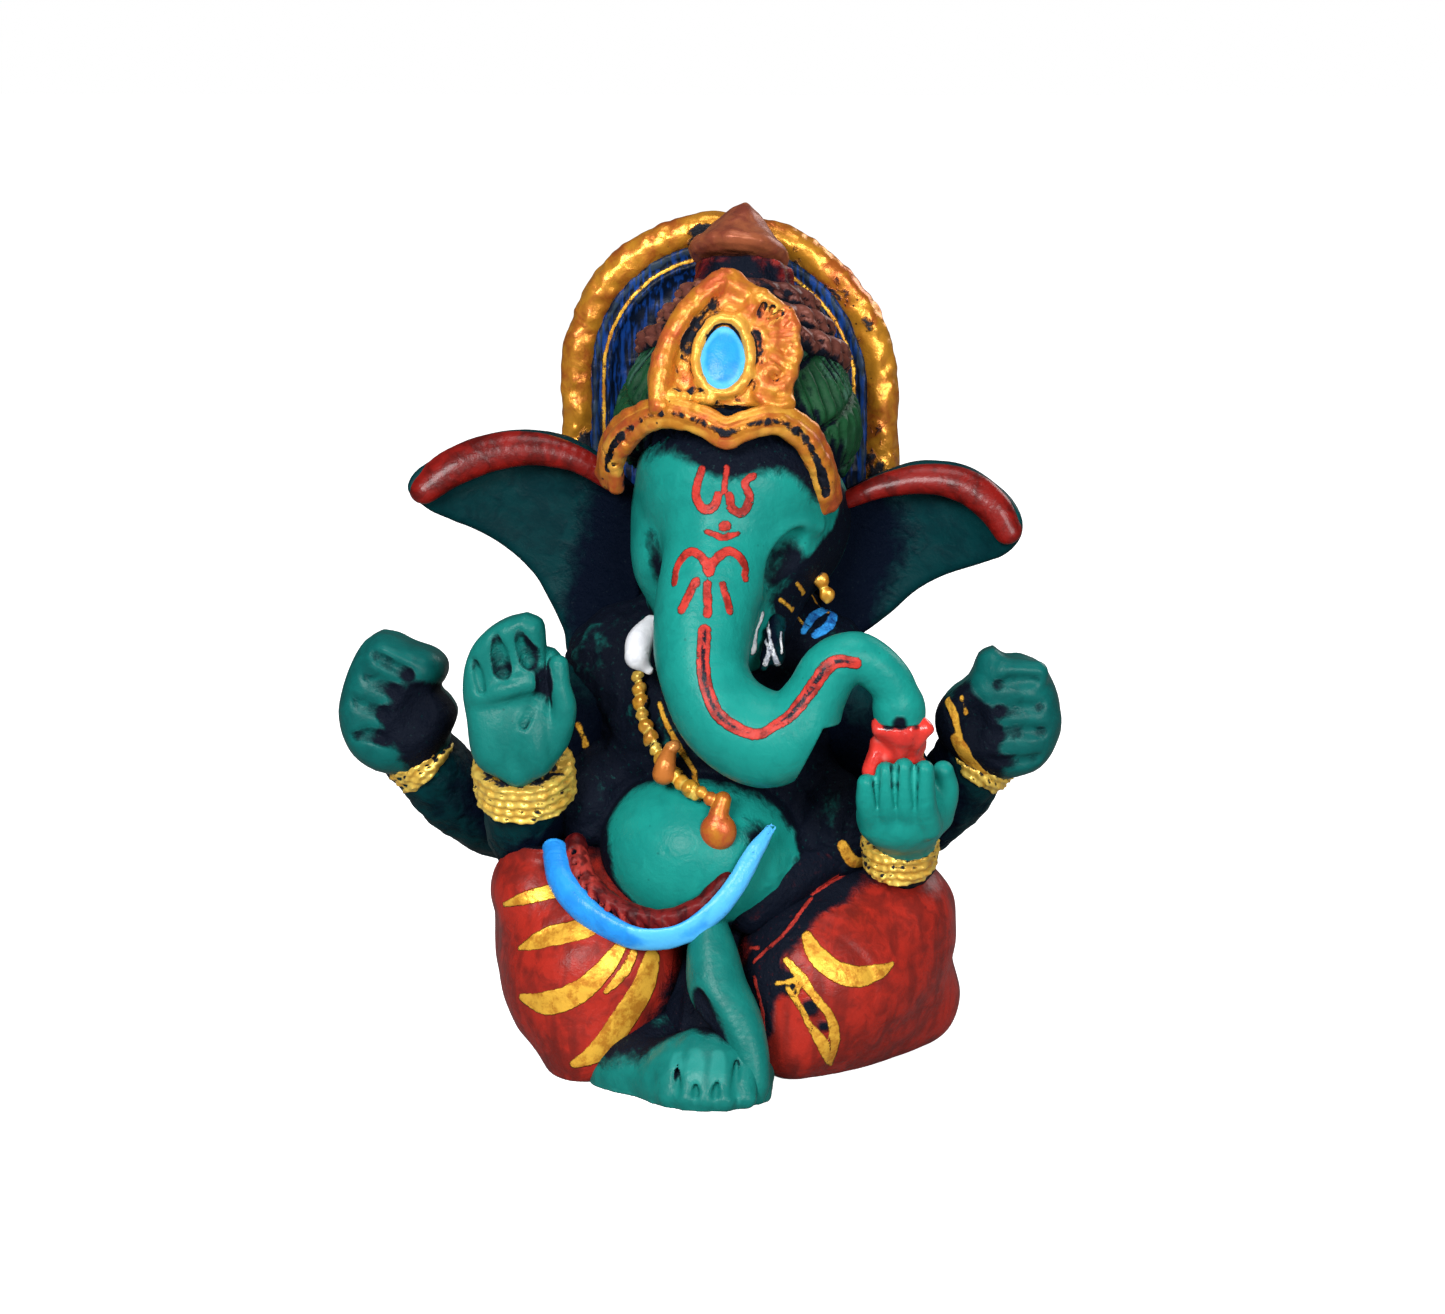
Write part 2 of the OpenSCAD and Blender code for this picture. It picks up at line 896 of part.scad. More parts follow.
module sweet_hand() {
    color(skin) difference() {
        sweet_hand_shape();
        front_right_bracelet_shape();
        sweet_shape();
        trunk_shape();
    }
}

module rear_left_bracelet() {
    color(gold) rear_left_bracelet_shape();
}

module rear_right_bracelet() {
    color(gold) rear_right_bracelet_shape();
}

module front_left_bracelet() {
    color(gold) front_left_bracelet_shape();
}

module front_right_bracelet() {
    color(gold) front_right_bracelet_shape();
}

module sweet() {
    color("crimson") sweet_shape();
}

halo_rim();
halo_plate();
crown_leaf_tier();
crown_lower_rope();
crown_middle_rope();
crown_upper_rope();
crown_neck();
crown_finial();
crown_plaque();
crown_gem();
diadem_band();
head();
trunk();
left_ear();
right_ear();
left_ear_rim();
right_ear_rim();
left_tusk();
right_tusk();
torso();
hip_cloth();
left_beads();
right_beads();
bead_drop();
pendant();
sash();
waist_cloth();
left_leg();
right_leg();
shin();
foot();
rear_left_arm();
rear_right_arm();
front_left_arm();
front_right_arm();
rear_left_fist();
rear_right_fist();
open_palm();
sweet_hand();
rear_left_bracelet();
rear_right_bracelet();
front_left_bracelet();
front_right_bracelet();
sweet();
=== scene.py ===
"""Looks of a small painted resin figurine: a seated four-armed elephant-headed figure with a halo.

Every piece is sculpted in millimetres in the row frame, as a signed distance field on a grid
that balls, eggs and tubes are blended into, and then turned into a mesh.
"""

import math

import bpy
import numpy as np
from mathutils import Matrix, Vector


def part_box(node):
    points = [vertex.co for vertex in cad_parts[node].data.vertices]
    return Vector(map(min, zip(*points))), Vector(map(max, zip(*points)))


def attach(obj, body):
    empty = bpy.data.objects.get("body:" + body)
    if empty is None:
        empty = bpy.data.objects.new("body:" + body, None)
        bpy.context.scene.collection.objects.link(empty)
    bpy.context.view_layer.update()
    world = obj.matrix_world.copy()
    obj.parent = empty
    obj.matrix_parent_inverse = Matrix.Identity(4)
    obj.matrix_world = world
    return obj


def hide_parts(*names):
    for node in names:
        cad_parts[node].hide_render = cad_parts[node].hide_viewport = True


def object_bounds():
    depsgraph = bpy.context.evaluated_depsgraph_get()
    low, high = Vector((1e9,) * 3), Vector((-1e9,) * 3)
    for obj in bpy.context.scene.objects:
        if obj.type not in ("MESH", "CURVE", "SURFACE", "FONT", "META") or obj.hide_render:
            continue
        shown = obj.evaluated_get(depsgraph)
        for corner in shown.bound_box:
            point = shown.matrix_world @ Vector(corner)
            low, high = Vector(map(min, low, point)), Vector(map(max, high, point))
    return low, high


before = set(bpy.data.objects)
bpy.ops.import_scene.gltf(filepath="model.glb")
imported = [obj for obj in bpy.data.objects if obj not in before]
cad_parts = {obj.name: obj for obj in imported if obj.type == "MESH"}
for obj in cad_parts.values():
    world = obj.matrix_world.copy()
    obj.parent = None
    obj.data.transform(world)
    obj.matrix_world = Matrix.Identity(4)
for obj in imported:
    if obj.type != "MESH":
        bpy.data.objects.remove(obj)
start_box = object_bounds()

MM = 0.001
# What a block of clay holds where nothing has been added, and the least it may hold at its walls, in mm.
FAR = 4.0
WALL = 0.05
# The least squared slope of a distance that the surface is still drawn toward, and how often it is.
LEAST_SLOPE = 0.05
DRAWS = 2
rng = np.random.default_rng(7)


# ---------------------------------------------------------------- shapes

def spline(points, per_span):
    """A smooth curve (Catmull-Rom) through points of any number of coordinates."""
    p = np.array(points, float)
    if len(p) < 3 or per_span < 2:
        return p
    ends = np.vstack([2 * p[0] - p[1], p, 2 * p[-1] - p[-2]])
    out = []
    for i in range(len(p) - 1):
        a, b, c, d = ends[i:i + 4]
        for t in np.arange(per_span) / per_span:
            out.append(0.5 * (2 * b + (c - a) * t + (2 * a - 5 * b + 4 * c - d) * t ** 2
                              + (3 * b - a - 3 * c + d) * t ** 3))
    out.append(p[-1])
    return np.array(out)


def pillow(outline, middle, half, rounding):
    """A slab cut to an outline seen from the front, with rounded edges. middle(x, z) is its mid depth."""
    low, high = np.min(outline, axis=0), np.max(outline, axis=0)
    depths = [middle(x, z) for x, z in outline]

    def dist(x, y, z):
        side = outline_distance(outline, x, z) + rounding + 0 * y
        across = np.abs(y - middle(x, z)) - (half - rounding)
        return (np.minimum(np.maximum(side, across), 0)
                + np.hypot(np.maximum(side, 0), np.maximum(across, 0)) - rounding)

    return [(np.array([low[0], min(depths) - half - 1, low[1]]),
             np.array([high[0], max(depths) + half + 1, high[1]]), dist)]


def local(x, y, z, origin, turn):
    """Coordinates in a frame with its own origin and turn."""
    q = [x - origin[0], y - origin[1], z - origin[2]]
    return [turn[0, i] * q[0] + turn[1, i] * q[1] + turn[2, i] * q[2] for i in range(3)]


def turned(angles):
    """The matrix that turns about X, then Y, then Z, in degrees."""
    x, y, z = np.radians(angles)
    rx = np.array([[1, 0, 0], [0, math.cos(x), -math.sin(x)], [0, math.sin(x), math.cos(x)]])
    ry = np.array([[math.cos(y), 0, math.sin(y)], [0, 1, 0], [-math.sin(y), 0, math.cos(y)]])
    rz = np.array([[math.cos(z), -math.sin(z), 0], [math.sin(z), math.cos(z), 0], [0, 0, 1]])
    return rz @ ry @ rx


def egg(centre, radii, turn=(0, 0, 0)):
    """An ellipsoid."""
    c = np.array(centre, np.float32)
    r = np.array([radii] * 3 if np.isscalar(radii) else radii, float)
    m = turned(turn)
    reach = np.sqrt(((m * r) ** 2).sum(1))

    def dist(x, y, z):
        a, b, d = [v / k for v, k in zip(local(x, y, z, c, m), r)]
        k0 = np.sqrt(a * a + b * b + d * d)
        k1 = np.sqrt((a / r[0]) ** 2 + (b / r[1]) ** 2 + (d / r[2]) ** 2)
        return k0 * (k0 - 1) / np.maximum(k1, 1e-6)

    return [(c - reach, c + reach, dist)]


def capsule(a, b, ra, rb, flat=None):
    """A rod with round ends, from radius ra at a to rb at b."""
    a, b = np.array(a, float), np.array(b, float)
    ab = b - a
    length2 = max(float(ab @ ab), 1e-9)

    def dist(x, y, z):
        px, py, pz = x - a[0], y - a[1], z - a[2]
        t = np.clip((px * ab[0] + py * ab[1] + pz * ab[2]) / length2, 0, 1)
        vx, vy, vz = px - t * ab[0], py - t * ab[1], pz - t * ab[2]
        d2 = vx * vx + vy * vy + vz * vz
        if flat is not None:
            n, f = flat
            d2 = d2 + (1 / f ** 2 - 1) * (vx * n[0] + vy * n[1] + vz * n[2]) ** 2
        return np.sqrt(d2) - (ra + t * (rb - ra))

    r = max(ra, rb)
    return (np.minimum(a, b) - r, np.maximum(a, b) + r, dist)


def tube(points, radii, n=4, flat=None):
    """A round cord through points, with a radius at each. flat = (direction, factor) flattens it."""
    if np.isscalar(radii):
        radii = [radii] * len(points)
    if flat is not None:
        d = np.array(flat[0], float)
        flat = (d / np.linalg.norm(d), flat[1])
    s = spline(np.hstack([np.array(points, float), np.array(radii, float)[:, None]]), n)
    return [capsule(s[i, :3], s[i + 1, :3], s[i, 3], s[i + 1, 3], flat) for i in range(len(s) - 1)]


def outline_distance(outline, u, v):
    """Signed distance in a plane to a closed outline, less than zero inside it."""
    best = np.full(np.broadcast(u, v).shape, 1e9)
    inside = np.zeros(best.shape, bool)
    p = np.array(outline, float)
    for a, b in zip(p, np.roll(p, -1, axis=0)):
        e = b - a
        t = np.clip(((u - a[0]) * e[0] + (v - a[1]) * e[1]) / max(e @ e, 1e-9), 0, 1)
        best = np.minimum(best, (u - a[0] - t * e[0]) ** 2 + (v - a[1] - t * e[1]) ** 2)
        if a[1] != b[1]:
            inside ^= ((a[1] > v) != (b[1] > v)) & (u < e[0] * (v - a[1]) / e[1] + a[0])
    return np.where(inside, -1, 1) * np.sqrt(best)


def blended(a, b, k):
    """The lesser of two distances, with a fillet of width k where they meet."""
    if k <= 0:
        return np.minimum(a, b)
    h = np.maximum(k - np.abs(a - b), 0) / k
    return np.minimum(a, b) - h * h * k * 0.25


def smooth(lo, hi, v):
    """Rises from 0 at lo to 1 at hi, level at both ends."""
    t = np.clip((v - lo) / (hi - lo), 0, 1)
    return t * t * (3 - 2 * t)


# ---------------------------------------------------------------- clay

class Clay:
    """A block that shapes are added to and cut from."""
    made = []

    def __init__(self, low, high, step=0.25):
        self.low = np.array(low, float)
        self.step = step
        self.n = np.ceil((np.array(high) - self.low) / step).astype(int) + 1
        self.f = np.full(self.n, FAR, np.float32)
        Clay.made.append(self)

    def window(self, low, high, margin):
        a = np.maximum(np.floor((low - margin - self.low) / self.step).astype(int), 0)
        b = np.minimum(np.ceil((high + margin - self.low) / self.step).astype(int) + 1, self.n)
        return a, np.maximum(b, a)

    def axes(self, a, b):
        x, y, z = [(self.low[k] + self.step * np.arange(a[k], b[k])).astype(np.float32) for k in range(3)]
        return x[:, None, None], y[None, :, None], z[None, None, :]

    def field(self, shape, margin):
        low = np.min([s[0] for s in shape], axis=0)
        high = np.max([s[1] for s in shape], axis=0)
        a, b = self.window(low, high, margin)
        g = np.full(b - a, FAR, np.float32)
        for s in shape:
            c, d = self.window(s[0], s[1], margin)
            if np.any(c >= d):
                continue
            part = tuple(slice(i - k, j - k) for i, j, k in zip(c, d, a))
            g[part] = np.minimum(g[part], s[2](*self.axes(c, d)))
        return tuple(slice(i, j) for i, j in zip(a, b)), g

    def add(self, shape, k=0.0):
        where, g = self.field(shape, 1 + k)
        self.f[where] = blended(self.f[where], g, k)
        return self

    def cut(self, shape, k=0.0):
        where, g = self.field(shape, 1 + k)
        self.f[where] = -blended(-self.f[where], g, k)
        return self

    def keep(self, dist):
        """Keeps only what lies where dist(x, y, z) is less than zero."""
        self.f = np.maximum(self.f, dist(*self.axes([0, 0, 0], self.n)).astype(np.float32))
        return self

    def push(self, low, high, change):
        """Adds change(x, y, z) to the distance inside a box: less than zero swells the surface."""
        a, b = self.window(np.array(low, float), np.array(high, float), 0)
        where = tuple(slice(i, j) for i, j in zip(a, b))
        self.f[where] += change(*self.axes(a, b)).astype(np.float32)
        return self

    def rough(self, amount, size):
        """Uneven hand finish: lumps of one size."""
        out = rng.uniform(-1, 1, [int(n * self.step / size) + 3 for n in self.n])
        for axis in range(3):
            t = np.arange(self.n[axis]) * self.step / size
            i = t.astype(int)
            w = smooth(0, 1, t - i)
            out = np.moveaxis(out, axis, 0)
            w = w.reshape((-1,) + (1,) * 2)
            out = out[i] * (1 - w) + out[i + 1] * w
            out = np.moveaxis(out, 0, axis)
        self.f += (amount * out).astype(np.float32)
        return self

    def sample(self, p):
        """The distance held at each of the places p, between grid points by weight."""
        q = np.clip((p - self.low) / self.step, 0, self.n - 1.001)
        i = q.astype(int)
        t = q - i
        total = 0
        for c in np.ndindex(2, 2, 2):
            w = np.prod([t[:, k] if c[k] else 1 - t[:, k] for k in range(3)], axis=0)
            total = total + w * self.f[i[:, 0] + c[0], i[:, 1] + c[1], i[:, 2] + c[2]]
        return total

    def gradient(self, p):
        h = self.step * 0.6
        return np.stack([(self.sample(p + h * e) - self.sample(p - h * e)) / (2 * h) for e in np.eye(3)], 1)

    def surface(self):
        """Vertices, normals and four-sided faces of the zero level."""
        f = self.f
        for k in range(3):
            edge = [slice(None)] * 3
            for end in (0, -1):
                edge[k] = end
                f[tuple(edge)] = np.maximum(f[tuple(edge)], WALL)
        inside = f < 0
        cells = [slice(None, -1), slice(1, None)]
        count = sum(inside[cells[i], cells[j], cells[k]].astype(np.int8) for i, j, k in np.ndindex(2, 2, 2))
        at = np.argwhere((count > 0) & (count < 8))
        number = np.full(count.shape, -1, np.int64)
        number[tuple(at.T)] = np.arange(len(at))
        spot = np.zeros((len(at), 3))
        hits = np.zeros(len(at))
        corners = list(np.ndindex(2, 2, 2))
        for a in corners:
            for k in range(3):
                if a[k]:
                    continue
                b = list(a)
                b[k] = 1
                fa = f[tuple((at + a).T)].astype(float)
                fb = f[tuple((at + b).T)].astype(float)
                cross = (fa < 0) != (fb < 0)
                t = np.where(cross, fa / np.where(cross, fa - fb, 1), 0)
                here = np.array(a, float)[None, :] + t[:, None] * np.eye(3)[k][None, :]
                spot[cross] += here[cross]
                hits += cross
        p = self.low + self.step * (at + spot / hits[:, None])
        faces = []
        for k in range(3):
            u, v = [j for j in range(3) if j != k]
            near = [slice(1, -1)] * 3
            near[k] = slice(0, -1)
            far = list(near)
            far[k] = slice(1, None)
            one, two = inside[tuple(near)], inside[tuple(far)]
            e = np.argwhere(one != two)
            flip = one[tuple(e.T)] != (k == 1)
            base = e.copy()
            base[:, u] += 1
            base[:, v] += 1
            ring = []
            for du, dv in ((-1, -1), (0, -1), (0, 0), (-1, 0)):
                c = base.copy()
                c[:, u] += du
                c[:, v] += dv
                ring.append(number[tuple(c.T)])
            quad = np.stack(ring, 1)
            quad[~flip] = quad[~flip][:, ::-1]
            faces.append(quad)
        faces = np.vstack(faces)
        for _ in range(DRAWS):
            g = self.gradient(p)
            size = np.maximum((g * g).sum(1), LEAST_SLOPE)
            shift = g * (self.sample(p) / size)[:, None]
            length = np.linalg.norm(shift, axis=1)
            p -= shift * np.minimum(1, 0.5 * self.step / np.maximum(length, 1e-9))[:, None]
        g = self.gradient(p)
        return p, g / np.maximum(np.linalg.norm(g, axis=1), 1e-6)[:, None], faces


# ---------------------------------------------------------------- meshes

pieces = {}
waiting = []


def mesh_object(name, points, faces, values):
    mesh = bpy.data.meshes.new(name)
    faces = np.asarray(faces)
    mesh.vertices.add(len(points))
    mesh.vertices.foreach_set("co", (np.asarray(points) * MM).astype(np.float32).ravel())
    mesh.loops.add(faces.size)
    mesh.loops.foreach_set("vertex_index", faces.astype(np.int32).ravel())
    mesh.polygons.add(len(faces))
    mesh.polygons.foreach_set("loop_start", np.arange(0, faces.size, faces.shape[1], dtype=np.int32))
    mesh.polygons.foreach_set("use_smooth", np.ones(len(faces), bool))
    for key, v in values.items():
        layer = mesh.attributes.new(key, "FLOAT", "POINT")
        layer.data.foreach_set("value", np.asarray(v, np.float32))
    mesh.update()
    mesh.validate()
    obj = bpy.data.objects.new(name, mesh)
    bpy.context.scene.collection.objects.link(obj)
    return obj


LINES = ("gold_line", "red_line", "white_line", "blue_line")
# A painted line: how finely its curve is cut, the step that feels for the clay, how far its distance
# is worked out to, and the longest stretch that still lies on one surface. The last three are in mm.
LINE_CUTS = 4
PROBE = 0.1
LINE_REACH = 2.5
LONGEST = 4


def cast(clay, name, slot, material, shade_and_wash=(), lines=(), nodes=None):
    """Notes a finished block of clay; its mesh is made once all the blocks are known."""
    waiting.append((clay, name, nodes or [name], slot, material, shade_and_wash, lines))


def brushed(clay, p, lines):
    """For each kind of painted line, how far (mm) outside the nearest line each vertex is.

    A line is (kind, [(x, z, half width), ...]) as seen from the front; its y is found on the clay.
    """
    out = {kind: np.full(len(p), 1.0) for kind in LINES}
    for kind, points in lines:
        s = spline(points, LINE_CUTS)
        depth = np.full(len(s), clay.low[1] + clay.step)
        for _ in range(int((clay.n[1] - 3) * clay.step / PROBE)):
            q = np.stack([s[:, 0], depth, s[:, 1]], 1)
            depth = depth + PROBE * (clay.sample(q) > 0)
        s = np.stack([s[:, 0], depth, s[:, 1], s[:, 2]], 1)
        for a, b in zip(s[:-1], s[1:]):
            if np.linalg.norm(a[:3] - b[:3]) > LONGEST:
                continue
            low, high = np.minimum(a, b)[:3] - LINE_REACH, np.maximum(a, b)[:3] + LINE_REACH
            near = np.all((p > low) & (p < high), axis=1)
            out[kind][near] = np.minimum(out[kind][near], capsule(a[:3], b[:3], a[3], b[3])[2](*p[near].T))
    return {kind: np.clip(v, -1, 1) for kind, v in out.items()}


def shade_and_wash_blobs(p, blobs):
    """Painted shade and dark wash, added in soft (x, y, z, reach, strength) blobs."""
    out = np.zeros(len(p))
    for x, y, z, reach, strength in blobs:
        d2 = ((p - (x, y, z)) ** 2).sum(1)
        out += strength * np.exp(-d2 / reach ** 2)
    return out


class Crowding:
    """How much of the figure lies round a place: high in its recesses, low on what stands out."""

    def __init__(self, step=0.9, passes=3, reach=2, margin=8):
        lo = np.min([c.low for c in Clay.made], axis=0) - margin
        hi = np.max([c.low + c.step * c.n for c in Clay.made], axis=0) + margin
        self.low, self.step = lo, step
        self.n = np.ceil((hi - lo) / step).astype(int)
        full = np.zeros(self.n, np.float32)
        for c in Clay.made:
            a = np.ceil((c.low - lo) / step).astype(int)
            b = np.floor((c.low + c.step * (c.n - 1) - lo) / step).astype(int) + 1
            at = [np.rint((lo[k] + step * np.arange(a[k], b[k]) - c.low[k]) / c.step).astype(int)
                  for k in range(3)]
            at = [np.clip(i, 0, c.n[k] - 1) for k, i in enumerate(at)]
            solid = np.clip(0.5 - c.f[np.ix_(*at)] / step, 0, 1)
            where = tuple(slice(i, j) for i, j in zip(a, b))
            full[where] = np.maximum(full[where], solid)
        for _ in range(passes):
            for axis in range(3):
                pad = [(0, 0)] * 3
                pad[axis] = (reach + 1, reach)
                s = np.cumsum(np.pad(full, pad), axis=axis)
                width = 2 * reach + 1
                full = (np.take(s, np.arange(width, s.shape[axis]), axis)
                        - np.take(s, np.arange(s.shape[axis] - width), axis)) / width
        self.f = full

    sample = Clay.sample


# The middle of each of these nodes' boxes, printed from the imported model by a helper script late in the
# session and rounded to 0.1 mm. A piece moves by as much as its box has moved since. The values of the
# fists and the palm were then changed, so those pieces sit a little off their boxes.
MODELLED_AT = {
    "halo_rim": (1.0, 11.6, 61.8), "crown_finial": (2.1, 4.6, 78.2), "crown_neck": (2.1, 4.1, 75.4),
    "crown_gem": (1.9, -11.0, 68.8), "crown_plaque": (1.9, -8.3, 69.1), "diadem_band": (0.9, -10.0, 59.4),
    "left_ear": (-16.9, 1.0, 49.1), "left_ear_rim": (-18.9, -1.4, 57.2), "right_ear": (18.5, 1.0, 49.0),
    "right_ear_rim": (21.0, -1.4, 54.2), "left_tusk": (-5.4, -10.3, 41.9), "right_tusk": (6.9, -10.2, 42.1),
    "left_beads": (-3.9, -10.4, 33.3), "right_beads": (11.1, -5.5, 46.7), "bead_drop": (-3.4, -13.0, 30.6),
    "pendant": (2.4, -14.8, 25.2), "sash": (-3.7, -14.4, 19.5), "waist_cloth": (-5.0, -14.0, 18.9),
    "rear_left_fist": (-31.3, -0.9, 32.4), "rear_right_fist": (28.0, -0.8, 32.6),
               "open_palm": (-17.3, -11.5, 34.3),
    "sweet_hand": (19.5, -12.8, 26.0), "sweet": (19.1, -16.1, 32.3),
    "rear_left_bracelet": (-29.3, 0.3, 27.6), "rear_right_bracelet": (26.5, 0.4, 28.9),
    "front_left_bracelet": (-17.4, -10.0, 28.2), "front_right_bracelet": (18.8, -9.6, 21.9),
}


def middle(node):
    """The middle of a node's box in the frame, in mm."""
    low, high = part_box(node)
    return (np.array(low) + np.array(high)) / 2 / MM


# How far out from the surface crowding is felt, and how deep and high the clay is felt for hollows
# and edges, in mm.
CROWD_OUT = 1.5
FEEL = 0.8


def make_pieces():
    crowd = Crowding()
    for clay, name, nodes, slot, material, shade_and_wash, lines in waiting:
        p, normal, faces = clay.surface()
        # recess and cavity let the paint darken in hollows and between pieces (dark wash together with
        # painted shade), edge lets it pale on edges (dry-brushed paint with painted highlight), and
        # shade_and_wash adds painted shade and wash in blobs.
        values = {
            "recess": crowd.sample(p + normal * CROWD_OUT),
            "cavity": np.clip(1 - clay.sample(p + normal * FEEL) / FEEL, 0, 1),
            "edge": np.clip(1 + clay.sample(p - normal * FEEL) / FEEL, 0, 1),
            "shade_and_wash": shade_and_wash_blobs(p, shade_and_wash),
            **brushed(clay, p, lines),
        }
        if nodes[0] in MODELLED_AT:
            p = p + middle(nodes[0]) - MODELLED_AT[nodes[0]]
        obj = mesh_object(name, p, faces, values)
        obj.data.materials.append(material)
        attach(obj, "root")
        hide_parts(*nodes)
        pieces[name] = obj
    print("faces", sum(len(o.data.polygons) for o in pieces.values()))


# ---------------------------------------------------------------- paint

class Nodes:
    """Short names for building a material."""

    def __init__(self, name):
        self.material = bpy.data.materials.new(name)
        self.material.use_nodes = True
        self.tree = self.material.node_tree
        self.tree.nodes.clear()
        self.where = self.tree.nodes.new("ShaderNodeTexCoord").outputs["Object"]

    def put(self, node, key, value):
        if value is None:
            return
        if isinstance(value, bpy.types.NodeSocket):
            self.tree.links.new(value, node.inputs[key])
        else:
            node.inputs[key].default_value = value

    def value(self, name):
        n = self.tree.nodes.new("ShaderNodeAttribute")
        n.attribute_name = name
        return n.outputs["Fac"]

    def stretched(self, scale, turn=(0, 0, 0)):
        n = self.tree.nodes.new("ShaderNodeMapping")
        self.put(n, "Vector", self.where)
        n.inputs["Scale"].default_value = scale
        n.inputs["Rotation"].default_value = [math.radians(a) for a in turn]
        return n.outputs[0]

    def noise(self, size, detail=3.0, rough=0.55, bend=0.0, vector=None):
        """Uneven lumps of a size in mm."""
        n = self.tree.nodes.new("ShaderNodeTexNoise")
        self.put(n, "Vector", vector or self.where)
        self.put(n, "Scale", 1 / MM / size)
        self.put(n, "Detail", detail)
        self.put(n, "Roughness", rough)
        self.put(n, "Distortion", bend)
        return n.outputs[0]

    def cells(self, size):
        """The distance to scattered points a size apart, in mm."""
        n = self.tree.nodes.new("ShaderNodeTexVoronoi")
        self.put(n, "Vector", self.where)
        self.put(n, "Scale", 1 / MM / size)
        return n.outputs["Distance"]

    def math(self, kind, a, b):
        n = self.tree.nodes.new("ShaderNodeMath")
        n.operation = kind
        self.put(n, 0, a)
        self.put(n, 1, b)
        return n.outputs[0]

    def add(self, *terms):
        """A sum of sockets and numbers; a pair is a socket times a number."""
        total = None
        for t in terms:
            if isinstance(t, tuple):
                t = self.math("MULTIPLY", t[0], t[1])
            total = t if total is None else self.math("ADD", total, t)
        return total

    def step(self, v, lo, hi, a=0.0, b=1.0):
        """Goes smoothly from a to b as v goes from lo to hi."""
        n = self.tree.nodes.new("ShaderNodeMapRange")
        n.interpolation_type = "SMOOTHSTEP"
        self.put(n, "Value", v)
        for key, x in (("From Min", lo), ("From Max", hi), ("To Min", a), ("To Max", b)):
            self.put(n, key, x)
        return n.outputs[0]

    def mix(self, amount, a, b):
        n = self.tree.nodes.new("ShaderNodeMix")
        n.data_type = "RGBA"
        self.put(n, "Factor", amount)
        for key, c in ((6, a), (7, b)):
            if isinstance(c, bpy.types.NodeSocket):
                self.tree.links.new(c, n.inputs[key])
            else:
                n.inputs[key].default_value = (*c, 1)
        return n.outputs[2]

    def bump(self, height, distance):
        n = self.tree.nodes.new("ShaderNodeBump")
        self.put(n, "Height", height)
        self.put(n, "Distance", distance * MM)
        self.put(n, "Strength", 1.0)
        return n.outputs[0]

    def finish(self, colour, rough, normal, metal, specular, coat):
        n = self.tree.nodes.new("ShaderNodeBsdfPrincipled")
        self.put(n, "Base Color", colour)
        self.put(n, "Roughness", rough)
        self.put(n, "Normal", normal)
        self.put(n, "Metallic", metal)
        n.inputs["Specular IOR Level"].default_value = specular
        n.inputs["Coat Weight"].default_value = coat
        n.inputs["Coat Roughness"].default_value = COAT_ROUGHNESS
        out = self.tree.nodes.new("ShaderNodeOutputMaterial")
        self.tree.links.new(n.outputs[0], out.inputs["Surface"])
        return self.material


COAT_ROUGHNESS = 0.15
# The near-black of the dark wash and of painted shade, and the dark and pale tone of each painted line.
NIGHT = (0.0003, 0.0024, 0.009)
LINE_PAINT = {
    "gold_line": ((0.50, 0.20, 0.02), (0.80, 0.44, 0.05)),
    "red_line": ((0.20, 0.014, 0.010), (0.46, 0.035, 0.025)),
    "white_line": ((0.30, 0.32, 0.38), (0.85, 0.86, 0.88)),
    "blue_line": ((0.01, 0.08, 0.30), (0.03, 0.30, 0.75)),
}
# Sizes of the lumps in the paint's unevenness, in mm, and how high the paint stands for its bump.
BIG, MIDDLING, FINE = 6.0, 1.6, 0.45
PAINT_HEIGHT = 0.35


